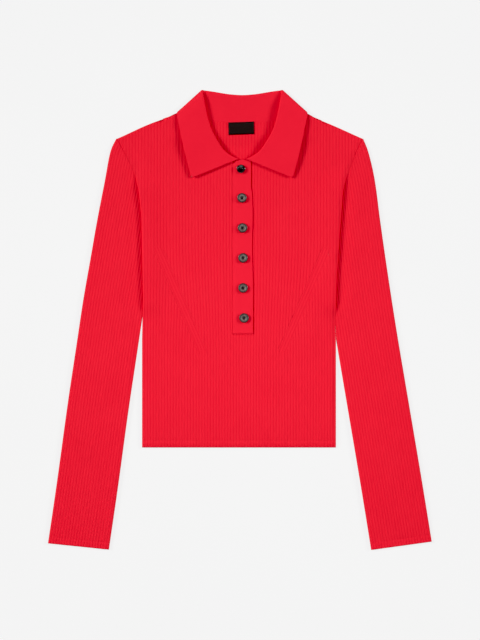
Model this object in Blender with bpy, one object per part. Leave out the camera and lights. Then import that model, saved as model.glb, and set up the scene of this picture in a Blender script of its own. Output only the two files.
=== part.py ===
"""A rib knit polo sweater that lies flat on its back with its sleeves drawn down.

Sizes are in millimetres until a mesh is made. +X is the right of the laid sweater as it is
looked down on, +Y points to its collar and +Z up off the surface, which is at z = 0. Each
maker's piece is one closed wall: the back, the front with its neck and placket cut-outs, two
sleeves that are flattened tubes, a folded collar strip, two placket bands, six buttons and
the woven neck label.
"""

import math
from typing import NamedTuple

import bmesh
import bpy
from mathutils import Vector
from mathutils.geometry import delaunay_2d_cdt

MM = 0.001
SLIVER = 0.0001

# Driving dimensions
WALL = 1.5
SEAM_GAP = 0.3
RIB_RISE = 0.5
RIB_VALLEY = 0.3
BAND_WALL = 1.2
HEM_Y = -203.6
CENTRE_X = 3.5
BODY_LOFT = 1.8
SHOULDER_LINE_Y = 372.0
SHOULDER_SLOPE = 0.41
CAP_LOFT = 0.6
ARMHOLE_RISE = 2.6
ARMHOLE_REACH = 45.0
ARMHOLE_ROUND = 3.0
SEAM_ROUND = 8.0
SLEEVE_LOFT = 1.2
ROLL_LOFT = 0.6
ROLL_REACH = 12.0
ROLL_FADE = 30.0
SLEEVE_REACH = 25.0
SLEEVE_WIDTH = 98.0
SLEEVE_RIBS = 22
PLACKET_LEFT = -12.8
PLACKET_RIGHT = 20.5
PLACKET_FOOT = -22.1
PLACKET_TOP = 255.6
UNDER_BAND_LEFT = -5.0
OVER_BAND_RIGHT = 19.7
BUTTON_DIAMETER = 15.2
TOP_BUTTON_DIAMETER = 13.6
BUTTON_THICKNESS = 2.6
LABEL_SIZE = (41.0, 20.0, 1.0)
LABEL_CENTRE = (2.2, 307.6)
LABEL_TURN = math.radians(2.0)

# The back's ribs show only inside the neck
NECK_WINDOW = 60.0
NECK_WINDOW_FOOT = 250.0
NECK_WINDOW_FADE = 5.0
NECK_RIB_RISE = 0.3
NECK_RIBS = 12

# The collar's back fall lies under the back panel, which rises over it
FALL_LIFT = WALL + SEAM_GAP
LIFT_FOOT_Y = 276.0
LIFT_HEAD_Y = 298.0
LIFT_HALF_INNER = 106.0
LIFT_HALF_OUTER = 128.0


class SideRow(NamedTuple):
    """The body's two side edges at one height, and the width of the groove beside each."""

    y: float
    left: float
    right: float
    left_groove: float
    right_groove: float


SIDE_ROWS = (
    SideRow(290.6, -197.6, 196.8, 0.0, 0.0),
    SideRow(271.0, -186.4, 187.2, 0.0, 1.0),
    SideRow(247.0, -174.4, 178.1, 0.8, 3.2),
    SideRow(231.0, -168.3, 171.7, 3.5, 5.6),
    SideRow(208.6, -163.2, 165.6, 6.4, 9.0),
    SideRow(160.6, -158.4, 161.6, 10.4, 8.8),
    SideRow(112.6, -157.4, 158.1, 11.7, 10.0),
    SideRow(64.6, -156.2, 155.2, 11.2, 10.4),
    SideRow(32.6, -155.5, 153.9, 8.8, 8.8),
    SideRow(3.8, -156.2, 153.3, 0.8, 4.0),
    SideRow(-15.4, -156.5, 153.0, 0.0, 0.8),
    SideRow(-31.4, -156.8, 153.6, 0.0, 0.0),
    SideRow(HEM_Y, -156.8, 153.6, 0.0, 0.0),
)


class EdgeRow(NamedTuple):
    """A point of each sleeve's outer edge, from the shoulder tip to the cuff."""

    left_x: float
    right_x: float
    y: float


EDGE_ROWS = (
    EdgeRow(-198.2, 197.2, 291.2),
    EdgeRow(-207.0, 204.8, 272.6),
    EdgeRow(-216.4, 216.0, 224.6),
    EdgeRow(-228.8, 224.5, 160.6),
    EdgeRow(-240.0, 233.6, 96.6),
    EdgeRow(-251.2, 243.2, 32.6),
    EdgeRow(-260.8, 253.4, -31.4),
    EdgeRow(-275.2, 269.6, -127.4),
    EdgeRow(-292.8, 291.2, -255.4),
    EdgeRow(-307.2, 307.2, -354.0),
    EdgeRow(-308.7, 308.8, -364.0),
)


class Shoulder(NamedTuple):
    """How far a shoulder edge bows out between the neck and its tip."""

    side: int
    bulge: float


SHOULDERS = (Shoulder(-1, 3.0), Shoulder(1, 1.2))


class Cuff(NamedTuple):
    """Where a sleeve's outer edge ends, and how much shorter each further column is."""

    side: int
    end_y: float
    slant: float


CUFFS = (Cuff(-1, -357.0, 0.045), Cuff(1, -354.2, 0.022))


class CollarRow(NamedTuple):
    """One section of half the collar, as distances from its centre line.

    The strip runs from the neck seam to the roll line, turns over and falls to its free edge.
    turn is 0 where the fall lies above the stand and 180 where it lies beneath.
    """

    roll_x: float
    roll_y: float
    roll_z: float
    edge_x: float
    edge_y: float
    edge_z: float
    neck_x: float
    neck_y: float
    turn: float
    radius: float


COLLAR_ROWS = (
    CollarRow(5.9, 257.9, 5.4, 80.8, 227.4, 8.4, 9.4, 257.0, 0.0, 1.25),
    CollarRow(15.6, 262.4, 5.6, 84.0, 238.4, 9.0, 20.2, 258.6, 0.0, 1.25),
    CollarRow(28.2, 271.4, 5.8, 87.5, 251.8, 9.6, 35.9, 265.3, 0.0, 1.25),
    CollarRow(38.6, 286.4, 6.0, 92.0, 269.4, 10.2, 52.6, 278.4, 0.0, 1.25),
    CollarRow(48.4, 304.0, 6.0, 96.0, 287.0, 10.4, 65.4, 293.8, 0.0, 1.25),
    CollarRow(55.2, 324.6, 6.0, 99.7, 304.6, 10.2, 76.4, 308.8, 0.0, 1.25),
    CollarRow(59.2, 344.5, 6.0, 102.2, 318.2, 9.4, 83.7, 323.9, 12.0, 1.25),
    CollarRow(61.2, 357.8, 5.7, 103.1, 325.4, 8.0, 87.5, 331.0, 40.0, 1.2),
    CollarRow(61.9, 363.4, 5.1, 103.2, 328.5, 7.4, 89.0, 333.5, 66.0, 1.15),
    CollarRow(61.9, 366.4, 4.4, 103.0, 330.6, 4.4, 89.6, 334.4, 90.0, 1.1),
    CollarRow(60.6, 367.3, 3.4, 101.4, 330.1, 0.8, 88.6, 333.8, 135.0, 1.0),
    CollarRow(57.4, 367.2, 2.56, 98.4, 323.5, 0.76, 84.8, 331.5, 165.0, 0.92),
    CollarRow(48.0, 366.4, 2.55, 89.6, 313.6, 0.75, 73.6, 326.0, 180.0, 0.9),
    CollarRow(35.2, 364.6, 2.55, 67.2, 305.8, 0.75, 54.4, 320.5, 180.0, 0.9),
    CollarRow(19.2, 362.2, 2.55, 35.2, 302.2, 0.75, 29.6, 317.3, 180.0, 0.9),
    CollarRow(0.0, 361.0, 2.55, 0.0, 301.4, 0.75, 0.0, 316.2, 180.0, 0.9),
)
FIRST_NECK_ROW = 1
SHOULDER_ROW = 9


class Shaping(NamedTuple):
    """The rib count of one side of the front, at the chest and at the hem."""

    side: int
    chest_ribs: int
    hem_ribs: int
    edge_distance: float


SHAPING = (Shaping(-1, 32, 35, 160.5), Shaping(1, 30, 33, 150.5))

# The shaping line is a diagonal band of ribs between the body's straight ones
DART_HEAD_Y = 117.0
DART_FOOT_Y = -49.0
DART_HEAD_DISTANCE = 136.0
DART_FOOT_DISTANCE = 64.0
DART_HALF_WIDTH = 7.2
DART_RIBS = 3
PITCH_BLEND = (-60.0, 130.0)
LINE_ROWS = (HEM_Y - 4.0, -165.0, -60.0, 10.0, 70.0, 130.0, 200.0, 255.0, 300.0, 345.0)
LINE_MARGIN = 0.8
ARMHOLE_RIBS = 9


class ButtonRow(NamedTuple):
    """A button's centre on the placket, and its diameter."""

    x: float
    y: float
    diameter: float


BUTTON_ROWS = (
    ButtonRow(1.6, 242.2, TOP_BUTTON_DIAMETER),
    ButtonRow(3.2, 195.8, BUTTON_DIAMETER),
    ButtonRow(4.0, 147.8, BUTTON_DIAMETER),
    ButtonRow(4.8, 99.8, BUTTON_DIAMETER),
    ButtonRow(4.8, 51.8, BUTTON_DIAMETER),
    ButtonRow(6.4, 3.8, BUTTON_DIAMETER),
)


# Small helpers
def smooth(value):
    """Return a soft step from 0 to 1 as value goes from 0 to 1."""
    value = min(1.0, max(0.0, value))
    return value * value * (3.0 - 2.0 * value)


def rounded(value):
    """Return the height of a quarter circle as value goes from 0 to 1."""
    value = min(1.0, max(0.0, value))
    return math.sqrt(max(0.0, 1.0 - (1.0 - value) ** 2))


def along(rows, y, column):
    """Read a named column of rows that fall in y, at height y."""
    if y >= rows[0].y:
        return getattr(rows[0], column)
    for upper, lower in zip(rows, rows[1:]):
        if y >= lower.y:
            share = (y - lower.y) / (upper.y - lower.y)
            low = getattr(lower, column)
            return low + share * (getattr(upper, column) - low)
    return getattr(rows[-1], column)


def side_edge(side, y):
    """Return the x of the body's side edge, left for side -1 and right for side 1."""
    return along(SIDE_ROWS, y, "left" if side < 0 else "right")


def groove_width(side, y):
    """Return how wide the groove between body and sleeve is at height y."""
    return along(SIDE_ROWS, y, "left_groove" if side < 0 else "right_groove")


def groove_share(y):
    """Return 1 where the groove beside the body is full and 0 above and below it."""
    return smooth(y / 30.0) * (1.0 - smooth((y - 210.0) / 40.0))


def cap_height(y):
    """Return how far the armhole seam is lifted above the groove, near the shoulder."""
    return CAP_LOFT * smooth((y - 210.0) / 40.0)


# Heights of the layers
def fall_lift(x, y):
    """Return how far the back panel's underside rises over the collar's back fall."""
    rise = smooth((y - LIFT_FOOT_Y) / (LIFT_HEAD_Y - LIFT_FOOT_Y))
    distance = abs(x - CENTRE_X)
    reach = smooth((LIFT_HALF_OUTER - distance) / (LIFT_HALF_OUTER - LIFT_HALF_INNER))
    return FALL_LIFT * rise * reach


def front_inside(x, y):
    """Return the height of the front panel's plain inside."""
    left = x - side_edge(-1, y)
    right = side_edge(1, y) - x
    inset = max(0.0, min(left, right))
    seam = cap_height(y)
    rise = ARMHOLE_RISE * groove_share(y)
    rise *= smooth((ARMHOLE_REACH - inset) / (ARMHOLE_REACH - SEAM_ROUND))
    reach = SEAM_ROUND + (ARMHOLE_ROUND - SEAM_ROUND) * groove_share(y)
    loft = seam + (BODY_LOFT + rise - seam) * smooth(inset / reach)
    hem = 0.35 + 0.65 * smooth((y - HEM_Y) / 60.0)
    below = SHOULDER_LINE_Y - SHOULDER_SLOPE * abs(x - CENTRE_X) - y
    shoulder = 0.3 + 0.7 * smooth(below / 60.0)
    return WALL + SEAM_GAP + fall_lift(x, y) + loft * hem * shoulder


def rib_pitch(shaping, y):
    """Return the rib spacing at height y, wide at the chest and narrow at the hem."""
    chest = shaping.edge_distance / shaping.chest_ribs
    hem = shaping.edge_distance / shaping.hem_ribs
    low, high = PITCH_BLEND
    return hem + (chest - hem) * smooth((y - low) / (high - low))


def dart_distance(y):
    """Return how far the shaping line is from the centre line at height y."""
    share = (y - DART_FOOT_Y) / (DART_HEAD_Y - DART_FOOT_Y)
    return DART_FOOT_DISTANCE + share * (DART_HEAD_DISTANCE - DART_FOOT_DISTANCE)


def rib_section(phase):
    """Return the height of a rib, 0 in a valley and 1 on its flat top."""
    share = phase - math.floor(phase)
    return min(1.0, min(share, 1.0 - share) / RIB_VALLEY)


def front_rib(x, y):
    """Return the front's rib height at a point, from 0 to 1."""
    shaping = SHAPING[0] if x < CENTRE_X else SHAPING[1]
    distance = abs(x - CENTRE_X)
    pitch = rib_pitch(shaping, y)
    phase = distance / pitch
    if DART_FOOT_Y <= y <= DART_HEAD_Y:
        across = distance - dart_distance(y)
        if abs(across) <= DART_HALF_WIDTH + 0.05:
            phase = (across + DART_HALF_WIDTH) * DART_RIBS / (2.0 * DART_HALF_WIDTH)
        elif across > 0.0:
            phase = (shaping.edge_distance - distance) / pitch
    inset = min(x - side_edge(-1, y), side_edge(1, y) - x)
    return rib_section(phase) * smooth(inset / 1.6)


def front_outside(x, y):
    """Return the height of the front panel's ribbed outside."""
    return front_inside(x, y) + WALL + RIB_RISE * front_rib(x, y)


def back_inside(x, y):
    """Return the height of the back's inner face, ribbed where the neck opening shows it."""
    distance = abs(x - CENTRE_X)
    shown = smooth((NECK_WINDOW - distance) / NECK_WINDOW_FADE)
    shown *= smooth((y - NECK_WINDOW_FOOT) / NECK_WINDOW_FADE)
    shaping = SHAPING[0] if x < CENTRE_X else SHAPING[1]
    rib = rib_section(distance / rib_pitch(shaping, y))
    return fall_lift(x, y) + WALL + NECK_RIB_RISE * shown * rib


# Making meshes
def material(name, colour, roughness, metallic=0.0):
    """Make a Principled material with one colour."""
    made = bpy.data.materials.new(name)
    made.use_nodes = True
    shader = made.node_tree.nodes["Principled BSDF"]
    shader.inputs["Base Color"].default_value = (*colour, 1.0)
    shader.inputs["Roughness"].default_value = roughness
    shader.inputs["Metallic"].default_value = metallic
    return made


def add_object(name, mesh, finish, smooth_shaded=False):
    """Put a mesh in the scene as one named piece."""
    if not mesh.materials:
        mesh.materials.append(finish)
    if smooth_shaded:
        mesh.shade_smooth()
        mesh.set_sharp_from_angle(angle=math.radians(35.0))
    piece = bpy.data.objects.new(name, mesh)
    bpy.context.scene.collection.objects.link(piece)
    return piece


def mesh_from(name, points, faces):
    """Make a closed mesh from points in millimetres, with its faces pointing out."""
    work = bmesh.new()
    corners = [work.verts.new(Vector(point) * MM) for point in points]
    for face in faces:
        work.faces.new([corners[index] for index in face])
    bmesh.ops.recalc_face_normals(work, faces=work.faces[:])
    mesh = bpy.data.meshes.new(name)
    work.to_mesh(mesh)
    work.free()
    return mesh


def is_inside(x, y, outline):
    """Tell whether a point is inside a closed outline."""
    crossings = False
    for (ax, ay), (bx, by) in zip(outline, outline[1:] + outline[:1]):
        if (ay > y) != (by > y) and x < ax + (y - ay) * (bx - ax) / (by - ay):
            crossings = not crossings
    return crossings


def triangulate(outline, lines, loose_points):
    """Fill an outline with triangles that keep its lines and points.

    Returns the points, the triangles and the rim, which is a list of point numbers that starts
    at the outline's first corner and goes round as the outline does.
    """
    points = [Vector(point) for point in outline]
    edges = [(index, (index + 1) % len(outline)) for index in range(len(outline))]
    for line in lines:
        first = len(points)
        points.extend(Vector(point) for point in line)
        edges.extend((first + step, first + step + 1) for step in range(len(line) - 1))
    points.extend(Vector(point) for point in loose_points)
    made = delaunay_2d_cdt(points, edges, [], 0, 1e-4)
    flat = [(point.x, point.y) for point in made[0]]
    triangles = []
    for face in made[2]:
        (ax, ay), (bx, by), (cx, cy) = (flat[index] for index in face)
        area = 0.5 * ((bx - ax) * (cy - ay) - (by - ay) * (cx - ax))
        if area > SLIVER and is_inside((ax + bx + cx) / 3.0, (ay + by + cy) / 3.0, outline):
            triangles.append(tuple(face))
    following = {}
    twins = {(b, a) for face in triangles for a, b in zip(face, face[1:] + face[:1])}
    for face in triangles:
        for start, end in zip(face, face[1:] + face[:1]):
            if (start, end) not in twins:
                following[start] = end
    first = min(following, key=lambda n: math.dist(flat[n], outline[0]))
    rim = [first]
    while following[rim[-1]] != first:
        rim.append(following[rim[-1]])
    return flat, triangles, rim


def rim_posts(outline, flat, rim, height):
    """Return the places in a rim of the outline's corners and of each valley between them."""
    corners = {min(rim, key=lambda n: math.dist(flat[n], corner)) for corner in outline}
    levels = [height(*flat[n]) for n in rim]
    posts = [0]
    for place in range(1, len(rim)):
        low = levels[place] <= min(levels[place - 1], levels[(place + 1) % len(rim)])
        if rim[place] in corners or low:
            posts.append(place)
    return posts


def panel_mesh(name, outline, top, bottom, top_lines=(), top_points=(), bottom_points=()):
    """Make a flat panel's wall between two height functions over a counter-clockwise outline."""
    top_flat, top_faces, top_rim = triangulate(outline, top_lines, top_points)
    posts = rim_posts(outline, top_flat, top_rim, top)
    low_outline = [top_flat[top_rim[place]] for place in posts]
    low_flat, low_faces, low_rim = triangulate(low_outline, (), bottom_points)
    points = []
    numbers = {}

    def use(kind, index, flat, height):
        if (kind, index) not in numbers:
            numbers[kind, index] = len(points)
            x, y = flat[index]
            points.append((x, y, height(x, y)))
        return numbers[kind, index]

    faces = [[use("top", i, top_flat, top) for i in face] for face in top_faces]
    faces += [[use("low", i, low_flat, bottom) for i in reversed(face)] for face in low_faces]
    posts.append(len(top_rim))
    for step, start in enumerate(posts[:-1]):
        chain = [top_rim[n % len(top_rim)] for n in range(start, posts[step + 1] + 1)]
        chain = [use("top", n, top_flat, top) for n in chain]
        low_a = use("low", low_rim[step], low_flat, bottom)
        low_b = use("low", low_rim[(step + 1) % len(low_rim)], low_flat, bottom)
        faces.extend((low_a, b, a) for a, b in zip(chain, chain[1:]))
        faces.append((low_a, low_b, chain[-1]))
    return mesh_from(name, points, faces)


# Outlines
def neck_edge(row):
    """Return the panel's neck corner beside a collar row, a seam's gap outside the strip."""
    away = Vector((row.neck_x - row.roll_x, row.neck_y - row.roll_y)).normalized()
    return row.neck_x + away.x * SEAM_GAP, row.neck_y + away.y * SEAM_GAP


def side_points(side):
    """Return a side edge's corners from the shoulder tip to the hem."""
    return [(row.left if side < 0 else row.right, row.y) for row in SIDE_ROWS]


def shoulder_points(side):
    """Return the shoulder edge's corners, from the neck out to where the back is flat again."""
    neck_x, neck_y = neck_edge(COLLAR_ROWS[SHOULDER_ROW])
    tip_x, tip_y = side_points(side)[0]
    reach = side * (tip_x - CENTRE_X)
    middle = 0.5 * (LIFT_HALF_INNER + LIFT_HALF_OUTER)
    corners = []
    for distance in (LIFT_HALF_INNER, middle, LIFT_HALF_OUTER, 150.0, 175.0):
        share = (distance - neck_x) / (reach - neck_x)
        bulge = SHOULDERS[side > 0].bulge * (4.0 * share * (1.0 - share)) ** 2
        corners.append((CENTRE_X + side * distance, neck_y + share * (tip_y - neck_y) + bulge))
    return corners


def front_outline():
    """Return the front's outline, with the neck and the placket cut out."""
    neck = [neck_edge(row) for row in COLLAR_ROWS[FIRST_NECK_ROW : SHOULDER_ROW + 1]]
    right = [(CENTRE_X + x, y) for x, y in neck]
    left = [(CENTRE_X - x, y) for x, y in neck]
    outline = [side_points(-1)[-1]] + list(reversed(side_points(1)))
    outline += list(reversed(shoulder_points(1))) + list(reversed(right))
    outline += [(PLACKET_RIGHT, right[0][1] - 0.8), (PLACKET_RIGHT, PLACKET_FOOT)]
    outline += [(PLACKET_LEFT, PLACKET_FOOT), (PLACKET_LEFT, left[0][1] - 0.8)]
    outline += left + shoulder_points(-1) + side_points(-1)[:-1]
    return outline


def back_outline():
    """Return the back's outline, with its shallow neck curve."""
    neck = [neck_edge(row) for row in COLLAR_ROWS[SHOULDER_ROW:]]
    right = [(CENTRE_X + x, y) for x, y in neck]
    left = [(CENTRE_X - x, y) for x, y in neck[:-1]]
    outline = [side_points(-1)[-1]] + list(reversed(side_points(1)))
    outline += list(reversed(shoulder_points(1))) + right + list(reversed(left))
    outline += shoulder_points(-1) + side_points(-1)[:-1]
    return outline


# Rib lines of the front
def rib_lines():
    """Return the valley and crest lines of the front's ribs, cut at the shaping lines."""
    lines = []
    offsets = (0.0, RIB_VALLEY, 1.0 - RIB_VALLEY)
    for shaping in SHAPING:
        for rib in range(shaping.hem_ribs + ARMHOLE_RIBS):
            for offset in offsets:
                if rib + offset > 0.0 or shaping.side > 0:
                    lines += traced(shaping, rib + offset, from_centre=True)
                lines += traced(shaping, rib - ARMHOLE_RIBS + offset, from_centre=False)
    for shaping in SHAPING:
        for step in range(DART_RIBS):
            for offset in offsets:
                lines.append(dart_line(shaping, step + offset))
        lines.append(dart_line(shaping, DART_RIBS))
    return lines


def dart_line(shaping, number):
    """Return a line inside the shaping band, parallel to it."""
    across = -DART_HALF_WIDTH + number * 2.0 * DART_HALF_WIDTH / DART_RIBS
    rows = (DART_HEAD_Y, 60.0, 10.0, DART_FOOT_Y)
    return [(CENTRE_X + shaping.side * (dart_distance(y) + across), y) for y in rows]


def traced(shaping, number, from_centre):
    """Return the stretches of one rib line, which keeps its number from hem to shoulder."""

    def place(y):
        pitch = rib_pitch(shaping, y)
        distance = number * pitch if from_centre else shaping.edge_distance - number * pitch
        return CENTRE_X + shaping.side * distance

    def allowed(y):
        x = place(y)
        distance = shaping.side * (x - CENTRE_X)
        if min(x - side_edge(-1, y), side_edge(1, y) - x) < LINE_MARGIN:
            return False
        if PLACKET_FOOT - LINE_MARGIN < y < PLACKET_TOP + 3.0:
            if PLACKET_LEFT - LINE_MARGIN < x < PLACKET_RIGHT + LINE_MARGIN:
                return False
        if y > DART_HEAD_Y:
            inner = distance <= DART_HEAD_DISTANCE + DART_HALF_WIDTH
            return inner == from_centre
        if y < DART_FOOT_Y:
            inner = distance <= DART_FOOT_DISTANCE + DART_HALF_WIDTH
            return inner == from_centre
        across = distance - dart_distance(y)
        gap = DART_HALF_WIDTH + 0.4
        return across < -gap if from_centre else across > gap

    return stretches(place, allowed)


def stretches(place, allowed):
    """Split a line that rises in y into the parts that are allowed."""
    step = 1.0
    low, high = LINE_ROWS[0], LINE_ROWS[-1]
    heights = [low + step * n for n in range(int((high - low) / step) + 1)]
    found, start = [], None
    for height in heights:
        if allowed(height) and start is None:
            start = height
        if not allowed(height) and start is not None:
            found.append((start, height - step))
            start = None
    if start is not None:
        found.append((start, heights[-1]))
    lines = []
    for bottom, top in found:
        if top - bottom < 3.0:
            continue
        middle = [row for row in LINE_ROWS if bottom + 6.0 < row < top - 6.0]
        lines.append([(place(y), y) for y in [bottom, *middle, top]])
    return lines


def lift_points(outline):
    """Return loose points where the back panel climbs over the collar's fall."""
    shares = (0.0, 0.33, 0.67, 1.0)
    climb, spread = LIFT_HEAD_Y - LIFT_FOOT_Y, LIFT_HALF_OUTER - LIFT_HALF_INNER
    ramp = [LIFT_FOOT_Y + share * climb for share in shares]
    reach = [LIFT_HALF_INNER + share * spread for share in shares]
    distances = [0.0, 35.0, 70.0] + reach
    heights = ramp + [312.0]
    spots = []
    for distance in distances:
        for side in (-1, 1):
            for height in heights:
                spots.append((CENTRE_X + side * distance + 0.01 * side, height))
    return [spot for spot in spots if clear_of(spot, outline, 2.0)]


def clear_of(spot, outline, margin):
    """Tell whether a point is inside an outline and a margin away from its corners."""
    x, y = spot
    around = ((x + margin, y), (x - margin, y), (x, y + margin), (x, y - margin))
    return all(is_inside(px, py, outline) for px, py in around)


def body_grid(outline):
    """Return loose points over a body panel, closer beside its edges."""
    spots = []
    for height in (-170.0, -110.0, -50.0, 10.0, 60.0, 110.0, 160.0, 205.0, 235.0, 262.0):
        for inset in (4.6, 10.0, 22.0, 45.0, 90.0):
            spots.append((side_edge(-1, height) + inset, height))
            spots.append((side_edge(1, height) - inset, height))
    return [spot for spot in spots if clear_of(spot, outline, 1.2)]


def armhole_points(outline):
    """Return loose points beside the armholes, where the front rolls down to its seam."""
    spots = []
    for step in range(16):
        height = 15.0 + 14.0 * step
        for inset in (1.4, ARMHOLE_ROUND):
            spots.append((side_edge(-1, height) + inset, height))
            spots.append((side_edge(1, height) - inset, height))
    return [spot for spot in spots if clear_of(spot, outline, 0.8)]


# Pieces
def build_back(finish):
    """Make the back panel, flat where it rests and ribbed where the neck shows it."""
    outline = back_outline()
    rows = (248.0, 256.0, 276.0, 287.0, 298.0, 308.0, 314.5)
    lines = []
    for shaping in SHAPING:
        for rib in range(NECK_RIBS):
            for offset in (0.0, RIB_VALLEY, 1.0 - RIB_VALLEY):
                if rib + offset > 0.0 or shaping.side > 0:
                    pitch = rib_pitch(shaping, rows[0])
                    x = CENTRE_X + shaping.side * (rib + offset) * pitch
                    lines.append([(x, y) for y in rows])
    far = [spot for spot in lift_points(outline) if abs(spot[0] - CENTRE_X) > NECK_WINDOW + 2.0]
    mesh = panel_mesh(
        "back", outline, back_inside, fall_lift, lines, far, lift_points(outline)
    )
    return add_object("back", mesh, finish)


def build_front(finish):
    """Make the front panel, with ribs raised outside over a plain inside."""
    outline = front_outline()
    inside_points = lift_points(outline) + body_grid(outline)
    roll_points = armhole_points(outline)
    mesh = panel_mesh(
        "front", outline, front_outside, front_inside, rib_lines(), roll_points, inside_points
    )
    return add_object("front", mesh, finish)


def band_outline(left, right, foot, columns=()):
    """Return a placket band's outline, with corners at its columns and a small peak on top."""
    shoulder, peak = PLACKET_TOP, PLACKET_TOP + 1.6
    top = [(right, shoulder), (CENTRE_X + 7.0, shoulder), (CENTRE_X + 3.5, peak)]
    top += [(CENTRE_X - 3.5, peak), (CENTRE_X - 7.0, shoulder)]
    top += [(x, shoulder) for x in reversed(columns)] + [(left, shoulder)]
    base = [(left, foot)] + [(x, foot) for x in columns] + [(right, foot)]
    return base + [spot for spot in top if left <= spot[0] <= right]


def build_bands(finish):
    """Make the under band, and the over band that laps it and carries the buttons."""
    rows = (PLACKET_FOOT + 30.0, 40.0, 90.0, 140.0, 190.0, 225.0)
    foot = PLACKET_FOOT + SEAM_GAP

    def over_low(x, y):
        """Return the underside of the over band, which climbs onto the under band."""
        lap = smooth((x - over_left) / (columns[-1] - over_left))
        return front_inside(x, y) + (BAND_WALL + SEAM_GAP) * lap

    over_left = PLACKET_LEFT + SEAM_GAP
    columns = (over_left + 2.5, over_left + 5.0, UNDER_BAND_LEFT - 0.4)
    points = [(x, y) for x in columns for y in rows]
    points += [(OVER_BAND_RIGHT - 6.0, y) for y in rows]
    outline = band_outline(over_left, OVER_BAND_RIGHT, foot, columns)
    mesh = panel_mesh(
        "placket_over", outline, lambda x, y: over_low(x, y) + WALL, over_low, (), points, points
    )
    over = add_object("placket_over", mesh, finish)
    points = [(x, y) for x in (UNDER_BAND_LEFT + 6.0, PLACKET_RIGHT - 6.0) for y in rows]
    outline = band_outline(UNDER_BAND_LEFT, PLACKET_RIGHT - SEAM_GAP, foot)
    mesh = panel_mesh(
        "placket_under",
        outline,
        lambda x, y: front_inside(x, y) + BAND_WALL,
        front_inside,
        (),
        points,
        points,
    )
    return over, add_object("placket_under", mesh, finish)


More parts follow.
